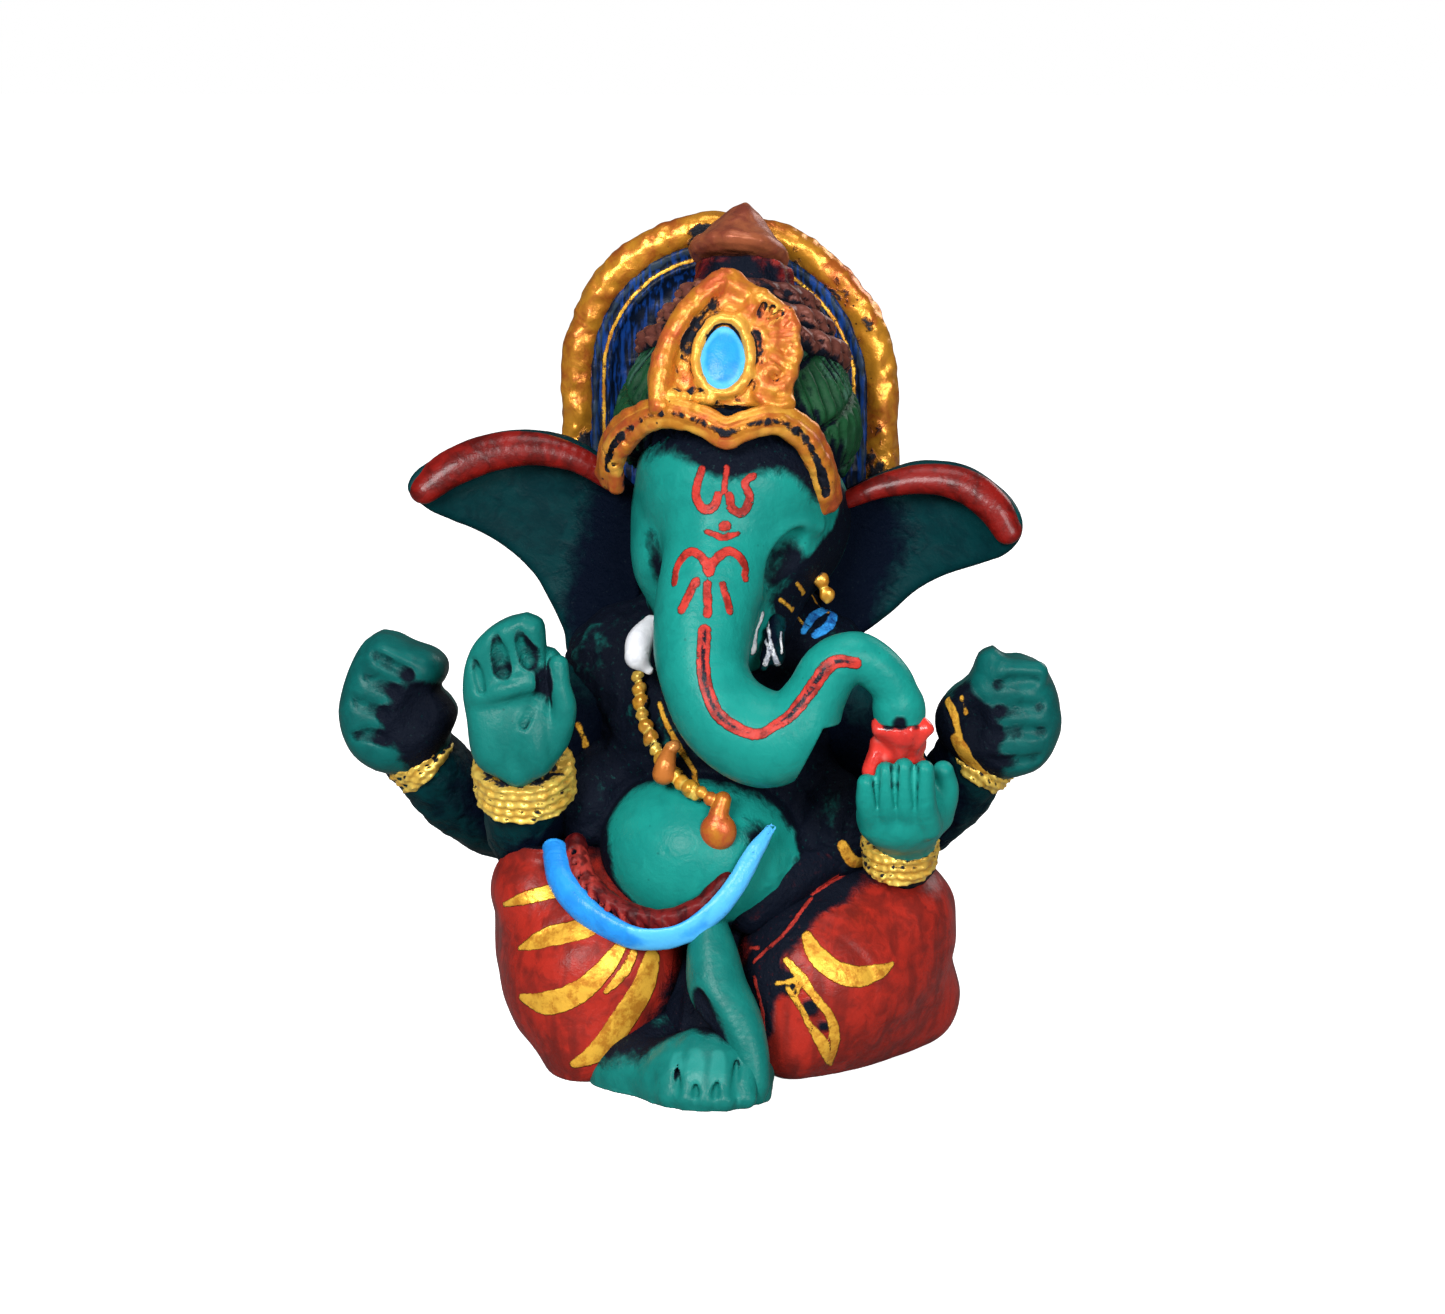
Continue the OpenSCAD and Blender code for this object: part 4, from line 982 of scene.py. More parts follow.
def head():
    clay = Clay((-12.5, -24.5, 28), (23.5, 10.8, 63.5), 0.25)
    clay.add(egg((2.7, 0.2, 52.5), (10.7, 10.2, 9.6), (0, 3, 0)))
    clay.add(egg((2.4, -4.6, 55.6), (9.3, 8.9, 7.6), (0, 3, 0)), 2.5)
    clay.add(egg((2.4, -6.0, 58.2), (8.4, 6.8, 5.2), (0, 3, 0)), 2.5)
    clay.add(egg((-4.2, -4.6, 49.4), (3.3, 4.6, 4.8)), 2)
    clay.add(egg((7.4, -4.6, 49.8), (3.2, 4.6, 4.4)), 2)
    clay.add(egg((1.6, -5.0, 43.5), (6.6, 6.6, 6.0)), 2.5)
    clay.add(tube([(1, 1, 47), (1, 1, 38)], [8, 7]), 2)
    clay.add(tube([p[:3] for p in TRUNK], [p[3] for p in TRUNK], 5), 1.6)
    # Brows, and hollows for the eyes beside the root of the trunk.
    clay.add(tube([(5.6, -11.5, 49.4), (6.4, -11.2, 52.0), (8.6, -10.1, 53.4), (10.8, -8.0, 52.8)],
                  [0.4, 0.6, 0.6, 0.4]), 1.2)
    clay.cut(egg((7.7, -10.8, 49.8), (1.95, 1.9, 3.6), (0, 34, 22)), 0.6)
    clay.cut(egg((-5.2, -11.2, 50.2), (1.1, 1.4, 3.9), (0, -16, -20)), 0.9)
    # The closed tip of the trunk.
    clay.add(tube([(18.8, -17.7, 37.4), (18.9, -17.6, 36.6)], [2.4, 2.4]), 0.4)
    clay.keep(lambda x, y, z: 35.9 - z - np.maximum(0, 12 - x) * 2 + 0 * y)
    front_of_halo(clay)
    clay.rough(0.05, 2.2)
    # Painted shade: a painted shadow on the brow under the diadem, darkness in the eye hollows, and darkness
    # at the sides of the face where it turns toward the ears.
    brow = [(x, y + 0.8, z - 1.6, 1.8, 0.34) for x, y, z in spline(DIADEM[1:-1], 2)]
    brow += [(x, y - 0.4, z - 3.4, 2.6, 0.16) for x, y, z in spline(DIADEM[1:-1], 2)]
    eyes = [(8.0, -10.0, 50.2, 2.1, 0.48), (6.8, -10.9, 48.2, 1.6, 0.45), (-6.0, -9.6, 52.0, 1.6, 0.4),
            (-5.4, -10.2, 50.0, 1.9, 0.45), (-5.0, -10.6, 47.8, 1.7, 0.45)]
    cheeks = [(13.4, -3, 49.5, 3.6, 0.7), (13.6, -3.6, 52.6, 2.2, 0.7), (11.6, -6.6, 49.8, 1.8, 0.7),
              (10.4, -8.6, 48.2, 1.6, 0.7),
              (13.8, -2.4, 55.0, 1.6, 0.6), (11.0, -5, 46.6, 3.4, 0.8), (8.6, -7, 44.6, 3.0, 0.7),
              (7.4, -5, 41, 4.0, 0.7),
              (-8.2, -2, 48.0, 3.0, 0.5), (-5.2, -5, 42.4, 3.2, 0.6), (14.0, 0, 53.5, 2.4, 0.4),
              (-8.6, 0, 55.5, 2.0, 0.4)]
    tip = [(19.0, -19.9, 36.3, 1.1, 0.8)]
    marks = [
        ("red_line", [(0.8, 44.4, 0.6), (0.8, 41.3, 0.6), (1.4, 38.9, 0.6), (2.7, 36.8, 0.6),
                      (5.6, 35.5, 0.5),
                      (7.3, 36.1, 0.45), (9.2, 37.4, 0.6), (10.8, 39.5, 0.65), (12.2, 41.5, 0.65),
                      (13.4, 42.2, 0.6),
                      (15.0, 42.0, 0.5)]),
        ("red_line", [(0.1, 58.8, 0.35), (-0.5, 56.6, 0.42), (0.2, 55.1, 0.42), (1.3, 55.4, 0.42),
                      (1.6, 56.4, 0.4)]),
        ("red_line", [(2.4, 59.0, 0.25), (2.2, 56.8, 0.3)]),
        ("red_line", [(4.9, 58.2, 0.35), (4.1, 57.6, 0.32), (4.6, 56.2, 0.4), (3.9, 54.8, 0.42),
                      (2.9, 55.3, 0.42),
                      (2.7, 56.4, 0.4)]),
        ("red_line", [(2.2, 53.6, 0.5), (2.4, 53.6, 0.5)]),
        ("red_line", [(0.6, 53.1, 0.2), (2.2, 52.6, 0.32), (3.6, 52.9, 0.2)]),
        ("red_line", [(-2.3, 48.4, 0.35), (-2.0, 50.0, 0.4), (-0.8, 51.3, 0.42), (0.5, 50.6, 0.42),
                      (1.0, 49.5, 0.42)]),
        ("red_line", [(4.3, 48.8, 0.35), (4.1, 50.3, 0.4), (2.9, 51.4, 0.42), (1.6, 50.7, 0.42),
                      (1.0, 49.5, 0.42)]),
        ("red_line", [(-0.2, 48.7, 0.42), (-1.4, 46.2, 0.45)]),
        ("red_line", [(0.9, 48.5, 0.36), (1.0, 45.9, 0.42)]),
        ("red_line", [(2.3, 48.5, 0.3), (3.0, 46.1, 0.42)]),
        ("white_line", [(5.6, 44.7, 0.3), (5.0, 42.9, 0.2), (4.7, 40.9, 0.3)]),
        ("gold_line", [(8.7, 47.4, 0.2), (9.2, 46.0, 0.25)]),
        ("gold_line", [(9.0, 46.8, 0.25), (10.4, 45.7, 0.2)]),
        ("gold_line", [(7.1, 45.8, 0.2), (8.2, 44.5, 0.25)]),
    ]
    cast(clay, "head_and_trunk", "teal_skin_paint", SKIN, brow + eyes + cheeks + tip, marks,
         ["head", "trunk"])


def ear(name, outline, deepest, bowl, rim, rim_r, shade_and_wash):
    """A dished ear cut to an outline, and the red lip along its upper edge."""
    low = np.min(outline, axis=0) - 2.5
    high = np.max(outline, axis=0) + 2.5
    low, high = (low[0], -5.0, low[1]), (high[0], 7.0, high[1])
    clay = Clay(low, high, 0.25)

    def back(x, z):
        return deepest[1] - bowl[0] * (x - deepest[0]) ** 2 - bowl[1] * (z - deepest[2]) ** 2

    clay.add(pillow(spline(list(outline) + [outline[0]], 4)[:-1], back, 1.25, 0.9))
    clay.add(tube([(x, back(x, z) - 0.2, z) for x, _, z in rim], [r * 0.7 for r in rim_r], 4), 1.0)
    clay.rough(0.08, 1.6)
    front_of_halo(clay)
    # The ear takes the darkest teal, with painted shade and dark wash near the head.
    cast(clay, name, "teal_skin_paint", SKIN_DARK, shade_and_wash)

    lip = Clay(low, high, 0.2)
    lip.add(tube(rim, rim_r, 5, ((0.2, 1, -0.55), 0.72)))
    lip.rough(0.06, 1.8)
    cast(lip, name + "_rim", "red_paint", EAR_RED)


def ears():
    ear("left_ear",
        [(-7.6, 55.0), (-10.8, 57.2), (-13.5, 59.2), (-17.8, 60.4), (-21.5, 60.1), (-25.3, 58.8),
         (-28.6, 57.1),
         (-29.6, 55.0), (-27.4, 52.7), (-23.8, 50.8), (-20.8, 48.9), (-18.2, 46.4), (-16.4, 43.4),
         (-15.0, 40.4),
         (-14.6, 38.2), (-12.5, 37.4), (-7.6, 39.0)],
        (-15.0, 3.4, 50.5), (0.026, 0.008),
        [(-9.6, -0.6, 55.6), (-13.0, -0.7, 57.9), (-17.4, -0.6, 59.0), (-21.8, -1.0, 58.6),
         (-25.6, -1.7, 57.1),
         (-28.0, -2.4, 55.3)], [0.9, 1.3, 1.7, 1.95, 1.95, 1.6],
        [(-8, 0, 50, 6.0, 0.42), (-11, 0, 54.5, 4, 0.30), (-13, 0, 42, 4.5, 0.42), (-12, 0, 47, 4.5, 0.35)])
    ear("right_ear",
        [(12.2, 54.4), (15.6, 56.0), (19.6, 57.7), (23.3, 57.7), (26.7, 56.4), (29.4, 54.0), (29.9, 51.2),
         (27.8, 48.9), (23.6, 47.2), (20.0, 45.3), (17.2, 42.8), (14.8, 41.0), (12.5, 39.6), (10.0, 41.0)],
        (17.2, 3.4, 49.6), (0.030, 0.008),
        [(13.2, -0.6, 54.4), (16.4, -0.7, 55.7), (20.2, -0.8, 56.5), (24.2, -1.2, 56.0), (27.1, -1.8, 54.1),
         (28.6, -2.2, 51.8)], [0.9, 1.2, 1.5, 1.7, 1.7, 1.4],
        [(12, 0, 49, 6.5, 0.5), (14, 0, 42, 4.5, 0.42), (17, 0, 50, 5, 0.28), (15, 0, 53.5, 3, 0.2)])


def tusks():
    left = Clay((-8.6, -14.6, 37), (-2.4, -6.6, 46.4), 0.15)
    left.add(tube([(-5.2, -9.4, 43.4), (-6.1, -10.8, 42.0), (-6.3, -11.6, 40.6)], [0.85, 1.3, 1.2], 5))
    left.add(tube([(-6.3, -11.6, 40.4), (-5.2, -11.6, 39.3)], [0.85, 0.45]), 0.5)
    left.cut(tube([(-5.2, -12.8, 43.0), (-5.4, -13.1, 41.0), (-5.6, -12.9, 39.8)], [0.22, 0.3, 0.22], 3),
             0.15)
    cast(left, "left_tusk", "white_paint", WHITE, [(-5.2, -12.6, 41.2, 0.7, 0.35)])
    right = Clay((3.6, -14.2, 37.6), (9.8, -6.8, 46.4), 0.15)
    right.add(tube([(6.9, -9.6, 43.8), (6.7, -10.6, 42.2), (6.8, -11.2, 40.6)], [0.8, 1.1, 0.95], 5))
    right.add(tube([(6.2, -11.4, 41.0), (5.8, -12.0, 39.9)], [0.55, 0.4]), 0.4)
    right.rough(0.2, 0.8)
    cast(right, "right_tusk", "white_paint", SKIN_DARK, [(6.9, -11.0, 42.0, 3.0, 0.5)],
         [("white_line", [(6.0, 44.3, 0.16), (6.5, 42.0, 0.2), (7.2, 39.9, 0.3)]),
          ("white_line", [(5.4, 43.0, 0.12), (6.3, 41.5, 0.22), (6.0, 40.2, 0.25)]),
          ("white_line", [(7.4, 43.0, 0.12), (7.5, 41.2, 0.18)])])


# ---------------------------------------------------------------- body

def torso():
    clay = Clay((-17.0, -18.5, 9.5), (18.0, 11.2, 48), 0.3)
    for side, x in ((-1, -8.3), (1, 9.3)):
        clay.add(egg((x, 1.5, 37), 6.6), 3)
        clay.add(egg((x - side * 3.5, 4.4, 39.4), 6.0), 3)
    clay.add(egg((0.5, -1.8, 33), (10.5, 8.6, 8.4)), 3)
    clay.add(tube([(-3.8, 1.8, 27), (4.8, 1.8, 27)], 8.8), 3)
    clay.add(egg((-3.8, 1.8, 17), 8.6), 3)
    clay.add(egg((4.8, 1.8, 17), 8.6), 3)
    clay.add(egg((4.2, -5.4, 19.6), (6.2, 8.2, 6.6)), 1.5)
    clay.add(egg((-11.6, -3.4, 24.4), (4.2, 5.0, 6.0)), 1.5)
    clay.add(egg((12.6, -3.6, 22.6), (4.4, 5.4, 6.0)), 1.5)
    clay.rough(0.24, 1.4).rough(0.16, 0.8)
    # The belly, with a navel.
    clay.add(egg((-0.7, -6.9, 21.0), (9.7, 9.5, 8.3)), 0.5)
    clay.add(tube([(1, 1, 40), (1.5, 1, 46)], [8, 7]), 2)
    clay.push((-9, -18, 20), (8, -14, 26), lambda x, y, z: 0.10 * np.maximum(
        0, 1 - ((x + 3.2) ** 2 + (z - 22.6) ** 2) / 0.15) + 0 * y)
    front_of_halo(clay)
    # Painted shade and dark wash over the whole torso, near-black like the chest behind the trunk; negative
    # blobs keep the belly and a patch right of the sash teal.
    cast(clay, "torso", "teal_skin_paint", SKIN,
         [(0, 0, 35, 1000, 0.62), (-2.4, -14, 20.8, 7.9, -1.0), (7.5, -12, 19.6, 4.2, -0.5),
          (5.5, -14.2, 23.4, 2.2, 0.5),
          (-9.6, -12, 22, 2.2, 0.25), (9.8, -9, 18, 3.0, 0.5)],
         [("blue_line", [(9.0, 41.8, 0.3), (10.0, 43.1, 0.5), (11.6, 43.7, 0.35)]),
          ("blue_line", [(10.2, 41.5, 0.4), (11.6, 42.4, 0.5), (12.0, 44.0, 0.3)]),
          ("gold_line", [(9.4, 44.8, 0.2), (11.2, 43.3, 0.25)]),
          ("gold_line", [(8.0, 43.6, 0.15), (9.4, 42.2, 0.22)]),
          ("gold_line", [(-11.5, 31.5, 0.3), (-10.5, 28.9, 0.4)]),
          ("gold_line", [(-4.4, 35.5, 0.25), (-3.1, 32.8, 0.3), (-1.4, 29.8, 0.25), (-0.1, 27.2, 0.2)]),
          ("gold_line", [(-5.4, 33.0, 0.15), (-4.0, 31.0, 0.2), (-1.8, 28.4, 0.2)]),
          ("gold_line", [(10.0, 46.6, 0.15), (9.2, 45.2, 0.2)]),
          ("gold_line", [(13.2, 22.0, 0.5), (14.4, 20.1, 0.6), (17.0, 19.9, 0.4)])])


def hips():
    clay = Clay((-17.5, -18.5, -1.2), (18.2, 12.4, 21.5), 0.35)
    for x in (-7.5, 8.5):
        clay.add(egg((x, 2.5, 11), 9.0), 3)
        clay.add(egg((x, 1.5, 3), 8.2), 3)
    clay.add(tube([(1, -3, 9), (1, -11.2, 4.8)], [8.4, 5.2]), 2)
    clay.add(tube([(1, 2, 1), (1, -12, 1)], [7, 5]), 2)
    clay.add(tube([(-0.4, -12.6, 15.6), (-0.6, -14.4, 10.6), (-1.2, -15.6, 5.2)], [0.9, 0.8, 0.7], 4), 0.5)
    clay.add(tube([(4.4, -11.0, 15.8), (7.6, -9.6, 18.2), (11.6, -6.8, 20.2)], [2.2, 2.6, 2.2], 4), 1.0)
    clay.rough(0.14, 1.3)
    cut_below(clay, 0)
    cast(clay, "hip_cloth", "red_paint", DARK_RED, [(1, -15, 8, 5, 0.5), (8, -9, 18, 6, 0.5)],
         [("red_line", [(4.6, 12.6, 0.2), (6.6, 14.4, 0.2), (8.4, 15.8, 0.2), (10.4, 17.4, 0.2)]),
          ("red_line", [(10.4, 17.4, 0.2), (12.0, 18.4, 0.25), (13.4, 18.9, 0.2)])])


def strings():
    left = Clay((-8.6, -16.4, 26.4), (0.6, -5.6, 40.4), 0.15)
    line = spline([(-6.6, -7.6, 38.0), (-6.0, -9.2, 34.6), (-4.6, -10.8, 31.6), (-2.6, -12.8, 29.4),
                   (-0.4, -14.0, 28.0)], 3)
    for i, (x, y, z) in enumerate(line):
        r = 0.62 + 0.16 * ((i * 7) % 3) / 2
        left.add(egg((x, y, z), (r, r, r * 1.15), (0, 30, 0)), 0.15)
    left.rough(0.12, 0.5)
    cast(left, "left_beads", "gold_paint", GOLD_DARK)

    right = Clay((8.4, -8.0, 42.4), (14.2, -1.8, 49.4), 0.15)
    for x, y, z in ((10.9, -5.4, 47.2), (11.4, -5.5, 45.9)):
        right.add(egg((x, y, z), (0.75, 0.7, 0.95), (0, -20, 0)), 0.2)
    right.rough(0.15, 0.6)
    cast(right, "right_beads", "gold_paint", GOLD)

    drop = Clay((-6.0, -15.6, 27.2), (-0.8, -10.6, 34.0), 0.15)
    drop.add(tube([(-3.0, -12.4, 32.0), (-3.4, -13.0, 30.6), (-3.6, -13.0, 29.6)], [0.6, 0.95, 1.1], 4))
    drop.add(egg((-2.6, -12.5, 32.2), 0.6), 0.2)
    cast(drop, "bead_drop", "copper_paint", COPPER_BRIGHT)

    charm = Clay((-0.6, -18.0, 21.2), (5.2, -12.0, 30.0), 0.15)
    charm.add(egg((1.8, -15.2, 24.6), (1.75, 1.2, 1.85)))
    charm.add(tube([(1.8, -15.0, 26.2), (2.2, -14.8, 27.6)], [0.95, 0.8]), 0.2)
    charm.add(egg((1.0, -14.6, 27.6), 0.7), 0.1)
    charm.add(egg((0.1, -14.4, 28.2), 0.6), 0.1)
    charm.cut(tube([(1.0, -16.4, 26.3), (2.8, -16.3, 26.4)], 0.2), 0.1)
    cast(charm, "pendant", "gold_paint", GOLD_WARM)


SASH = [(-14.3, -11.0, 21.5), (-13.3, -13.4, 19.1), (-11.4, -15.2, 17.1), (-8.9, -16.4, 15.6),
        (-5.5, -17.4, 14.5),
        (-1.6, -17.6, 15.0), (1.2, -17.4, 16.9), (3.5, -16.6, 19.6), (5.3, -15.4, 22.7), (6.8, -14.0, 24.8)]
ROLL = [(-12.4, -10.8, 22.0), (-11.4, -13.4, 19.6), (-9.4, -15.2, 17.8), (-6.8, -16.2, 16.6),
        (-3.4, -16.8, 16.2),
        (0.0, -16.6, 17.4), (2.6, -15.8, 20.0)]


def sashes():
    band = Clay((-16.6, -20.2, 10.2), (9.8, -8.4, 26.0), 0.2)
    band.add(tube(SASH, [1.3, 1.5, 1.55, 1.45, 1.3, 1.2, 1.15, 1.05, 0.9, 0.5], 8, ((0.0, 0.9, 0.35), 0.36)))
    band.cut(tube(SASH[-4:], [0.1, 0.25, 0.3, 0.2], 6), 0.2)
    band.rough(0.06, 1.4)
    cast(band, "sash", "blue_paint", BLUE, [
        (2.6, -17.4, 19.4, 1.0, 0.45), (4.3, -16.8, 21.4, 1.1, 0.55), (5.8, -15.6, 23.4, 1.0, 0.5),
        (-14.0, -12.4, 20.6, 0.9, 0.35)])
    roll = Clay((-14.4, -19.0, 10.8), (8.4, -8.0, 24.4), 0.2)
    roll.add(tube(ROLL, [1.1, 1.2, 1.2, 1.2, 1.1, 1.0, 0.8], 5))
    for x, y, z in spline(ROLL, 5)[1:-1:2]:
        roll.cut(tube([(x - 0.5, y - 1.2, z + 0.7), (x + 0.5, y - 1.0, z - 0.9)], [0.2, 0.3]), 0.2)
    roll.rough(0.12, 0.7)
    cast(roll, "waist_cloth", "dark_red_paint", DARK_RED)


# ---------------------------------------------------------------- limbs

def legs():
    left = Clay((-22.6, -20.6, -1.2), (1.0, 11.6, 21.5), 0.3)
    left.add(egg((-12.7, -3.6, 12.8), (8.6, 10.2, 9.0), (0, 8, 0)))
    left.add(egg((-9, 2.5, 9.0), (8.6, 8.2, 8.4)), 2)
    left.add(egg((-16.3, -7.2, 16.8), (4.8, 6.2, 4.9), (0, 30, 0)), 1.5)
    left.add(egg((-10.8, -9.4, 9.2), (8.6, 8.8, 9.4), (0, 42, 0)), 3)
    left.add(egg((-10.8, -11.6, 4.0), (4.8, 6.8, 6.0), (0, 20, 0)), 2)
    left.add(tube([(-17.2, -8.6, 20.4), (-14.8, -10.4, 22.4)], [1.9, 1.7]), 1.2)
    left.add(tube([(-9, 2, 1), (-10.4, -9.6, 0.6)], [6.0, 4.6]), 2)
    left.rough(0.10, 2.2)
    cut_below(left, 0)
    cast(left, "left_leg", "red_paint", RED, [(-3.6, -14.5, 9.5, 2.5, 0.2)], [
        ("gold_line", [(-19.2, 16.2, 0.2), (-17.0, 17.2, 0.6), (-14.3, 17.9, 0.7), (-12.4, 18.2, 0.5)]),
        ("gold_line", [(-17.4, 12.5, 0.2), (-15.2, 13.7, 0.9), (-13.0, 14.5, 1.1), (-10.5, 15.1, 0.9)]),
        ("gold_line", [(-17.0, 8.0, 0.4), (-14.7, 7.9, 1.1), (-11.5, 9.2, 1.1), (-9.0, 11.4, 0.9),
                       (-7.4, 13.5, 0.6)]),
        ("gold_line", [(-8.6, 9.5, 0.3), (-7.0, 11.2, 0.5), (-6.2, 12.8, 0.4)]),
        ("gold_line", [(-11.8, 2.2, 0.4), (-9.1, 3.8, 1.2), (-7.1, 6.4, 1.4), (-5.3, 9.4, 1.3),
                       (-4.5, 12.0, 1.0)])])

    right = Clay((-0.2, -20.6, -1.2), (24.8, 11.6, 19.6), 0.3)
    right.add(egg((14.8, -2.6, 10.4), (9.0, 10.6, 9.2)))
    right.add(egg((10, 2.5, 9.0), (8.6, 8.2, 8.2)), 2)
    right.add(egg((10.8, -8.6, 8.8), (8.4, 8.4, 8.6)), 3)
    right.add(egg((18.2, -2.5, 13.8), (5.8, 7.6, 5.6)), 2)
    right.add(tube([(8.8, -12.2, 4.2), (13.8, -6.4, 4.4), (19.4, -0.6, 4.8)], [4.6, 5.4, 5.2]), 2)
    right.cut(egg((17.2, -13.4, 15.2), (1.6, 1.0, 0.75), (0, 20, 20)), 0.7)
    right.rough(0.12, 2.4)
    cut_below(right, 0)
    dark = [(8.0, -14, 15.0, 3.4, 0.8), (11.4, -10, 17.6, 3.0, 0.8), (5.6, -16, 10.4, 2.6, 0.8),
            (6.0, -16, 6, 1.6, 0.4),
            (9.0, -16.7, 10.3, 1.1, 0.8), (10.7, -17.0, 8.1, 1.2, 0.8), (12.0, -16.6, 6.1, 1.0, 0.7)]
    cast(right, "right_leg", "red_paint", RED, dark, [
        ("gold_line", [(10.2, 14.5, 0.5), (11.2, 13.0, 0.9), (13.1, 11.5, 1.0), (15.3, 10.8, 1.0),
                       (17.1, 11.0, 0.7),
                       (18.3, 11.5, 0.2)]),
        ("gold_line", [(8.3, 12.4, 0.3), (9.7, 11.0, 0.5), (11.0, 9.3, 0.4), (12.5, 7.3, 0.4),
                       (13.0, 4.7, 0.5),
                       (12.5, 1.7, 0.2)]),
        ("gold_line", [(8.5, 9.8, 0.25), (9.7, 8.2, 0.3), (10.7, 6.2, 0.3), (11.8, 4.4, 0.6),
                       (12.4, 2.1, 0.3)]),
        ("gold_line", [(7.4, 10.1, 0.2), (9.2, 10.5, 0.2), (9.5, 9.4, 0.2)]),
        ("red_line", [(5.1, 11.6, 0.2), (6.3, 12.9, 0.2), (8.2, 14.7, 0.22), (9.6, 16.4, 0.22),
                      (10.4, 17.2, 0.2)]),
        ("red_line", [(4.6, 12.6, 0.2), (5.6, 12.9, 0.2)]),
        ("red_line", [(10.4, 17.4, 0.2), (12.0, 18.2, 0.22), (13.3, 18.7, 0.2)]),
        ("red_line", [(5.2, 10.3, 0.2), (6.0, 7.6, 0.2), (6.3, 5.4, 0.2)])])

    shin = Clay((-3.8, -24.6, -1.2), (8.8, -11.2, 17.4), 0.2)
    shin.add(tube([(1.0, -15.8, 15.4), (1.4, -16.6, 12.6), (2.0, -17.6, 9.9), (3.8, -19.0, 7.4),
                   (5.2, -20.4, 4.8),
                   (5.7, -21.2, 2.2), (5.6, -21.2, 0.8)], [1.8, 2.5, 2.8, 2.4, 1.8, 1.5, 1.3], 5))
    shin.cut(tube([(0.2, -19.8, 9.4), (1.8, -21.8, 6.6), (3.4, -23.4, 3.6)], [0.8, 1.2, 1.0], 4), 0.9)
    cut_below(shin, 0)
    # Painted shade: the shin takes the shaded copy of the teal, darker still in blobs down its length.
    cast(shin, "shin", "teal_skin_paint", SKIN_MID, [
        (0.6, -18.6, 11.6, 1.5, 0.5), (0.6, -19.4, 9.0, 1.9, 0.6), (1.4, -20.6, 6.4, 1.9, 0.6),
                                                     (2.8, -22, 3.8, 1.6, 0.5)])

    foot = Clay((-11.2, -26.4, -1.2), (8.0, -8.6, 7.4), 0.2)
    foot.add(egg((1.0, -19.2, 0.8), (5.9, 5.4, 5.6)))
    foot.add(tube([(-7.4, -15.6, 0.8), (-2.6, -18.6, 1.2)], [3.2, 3.6]), 1.5)
    foot.add(tube([(-2.4, -12.0, 3.4), (-6.0, -15.4, 1.0)], [3.4, 4.0]), 1.2)
    foot.add(tube([(5.4, -14.5, 1.2), (5.6, -20.5, 1.0)], [1.8, 1.7]), 0.8)
    for x, out in ((-2.2, 0.2), (-0.4, 0.9), (1.4, 1.2), (3.2, 1.1), (5.0, 0.4)):
        foot.add(tube([(x, -20.2, 4.4), (x, -21.9, 2.9), (x * 1.03, -22.8 - out, 1.0)], [0.9, 1.05, 1.0], 3),
                 0.7)
    for x in (-1.3, 0.5, 2.3, 4.1):
        foot.cut(tube([(x, -22.0, 4.2), (x, -24.6, 1.8)], [0.2, 0.4]), 0.35)
    foot.rough(0.12, 1.2)
    cut_below(foot, 0)
    # Painted shade: the foot takes the shaded copy of the teal, darker toward its left end and where the shin
    # meets it.
    cast(foot, "foot", "teal_skin_paint", SKIN_MID, [
        (-2.0, -18, 4.6, 3.2, 0.45), (-3.4, -20, 1.4, 1.8, 0.4), (-6.5, -18, 3.4, 4.0, 0.40),
                                                     (2.4, -20, 5.0, 2.4, 0.4),
        (-1.6, -23, 3.6, 1.6, 0.3), (-7.6, -16, 1.0, 3.0, 0.3)])


def arm(name, points, radii, shade_and_wash, lines=()):
    """A rough arm through points, in the darkest teal: painted shade along with the dark wash."""
    p = np.array(points, float)
    clay = Clay(p.min(0) - 5.6, p.max(0) + 5.6, 0.3)
    clay.add(tube(points, radii, 4))
    clay.rough(0.16, 1.3).rough(0.10, 0.7)
    front_of_halo(clay)
    cast(clay, name, "teal_skin_paint", SKIN_DARK, shade_and_wash, lines)


def arms():
    arm("rear_left_arm", [(-9.5, 6.2, 32.5), (-15.2, 7.0, 25.6), (-19.8, 6.2, 20.4), (-25.2, 3.4, 22.9),
                          (-29.4, 0.8, 28.0)],
        [4.4, 4.3, 4.2, 4.0, 3.8], [(-26, 1, 24, 8, 0.4), (-14, 3, 26, 7, 0.5)])
    arm("rear_right_arm", [(10.5, 6.2, 32.5), (15.0, 7.0, 26.2), (17.8, 6.2, 20.9), (22.6, 3.4, 24.0),
                           (26.0, 0.8, 29.4)],
        [4.4, 4.3, 4.0, 3.9, 3.9], [(24, 1, 25, 8, 0.4), (14, 3, 26, 7, 0.5)])
    arm("front_left_arm", [(-12.6, -0.4, 34.0), (-16.8, -2.4, 27.0), (-18.0, -3.4, 21.4), (-17.9, -6.6, 22.8),
                           (-17.5, -9.6, 27.6)],
        [4.3, 4.2, 3.7, 3.8, 4.0], [(-14, -4, 32, 7, 0.5), (-18, -7, 22, 6, 0.35)],
        [("gold_line", [(-12.8, 32.6, 0.3), (-12.1, 30.5, 0.35)])])
    arm("front_right_arm", [(13.6, -0.4, 34.0), (17.8, -2.4, 26.4), (18.6, -3.6, 20.6), (18.8, -6.4, 20.4),
                            (19.2, -9.0, 22.2)],
        [4.3, 4.2, 3.7, 3.3, 3.3], [(15, -4, 31, 7, 0.5), (19, -7, 24, 6, 0.35)])


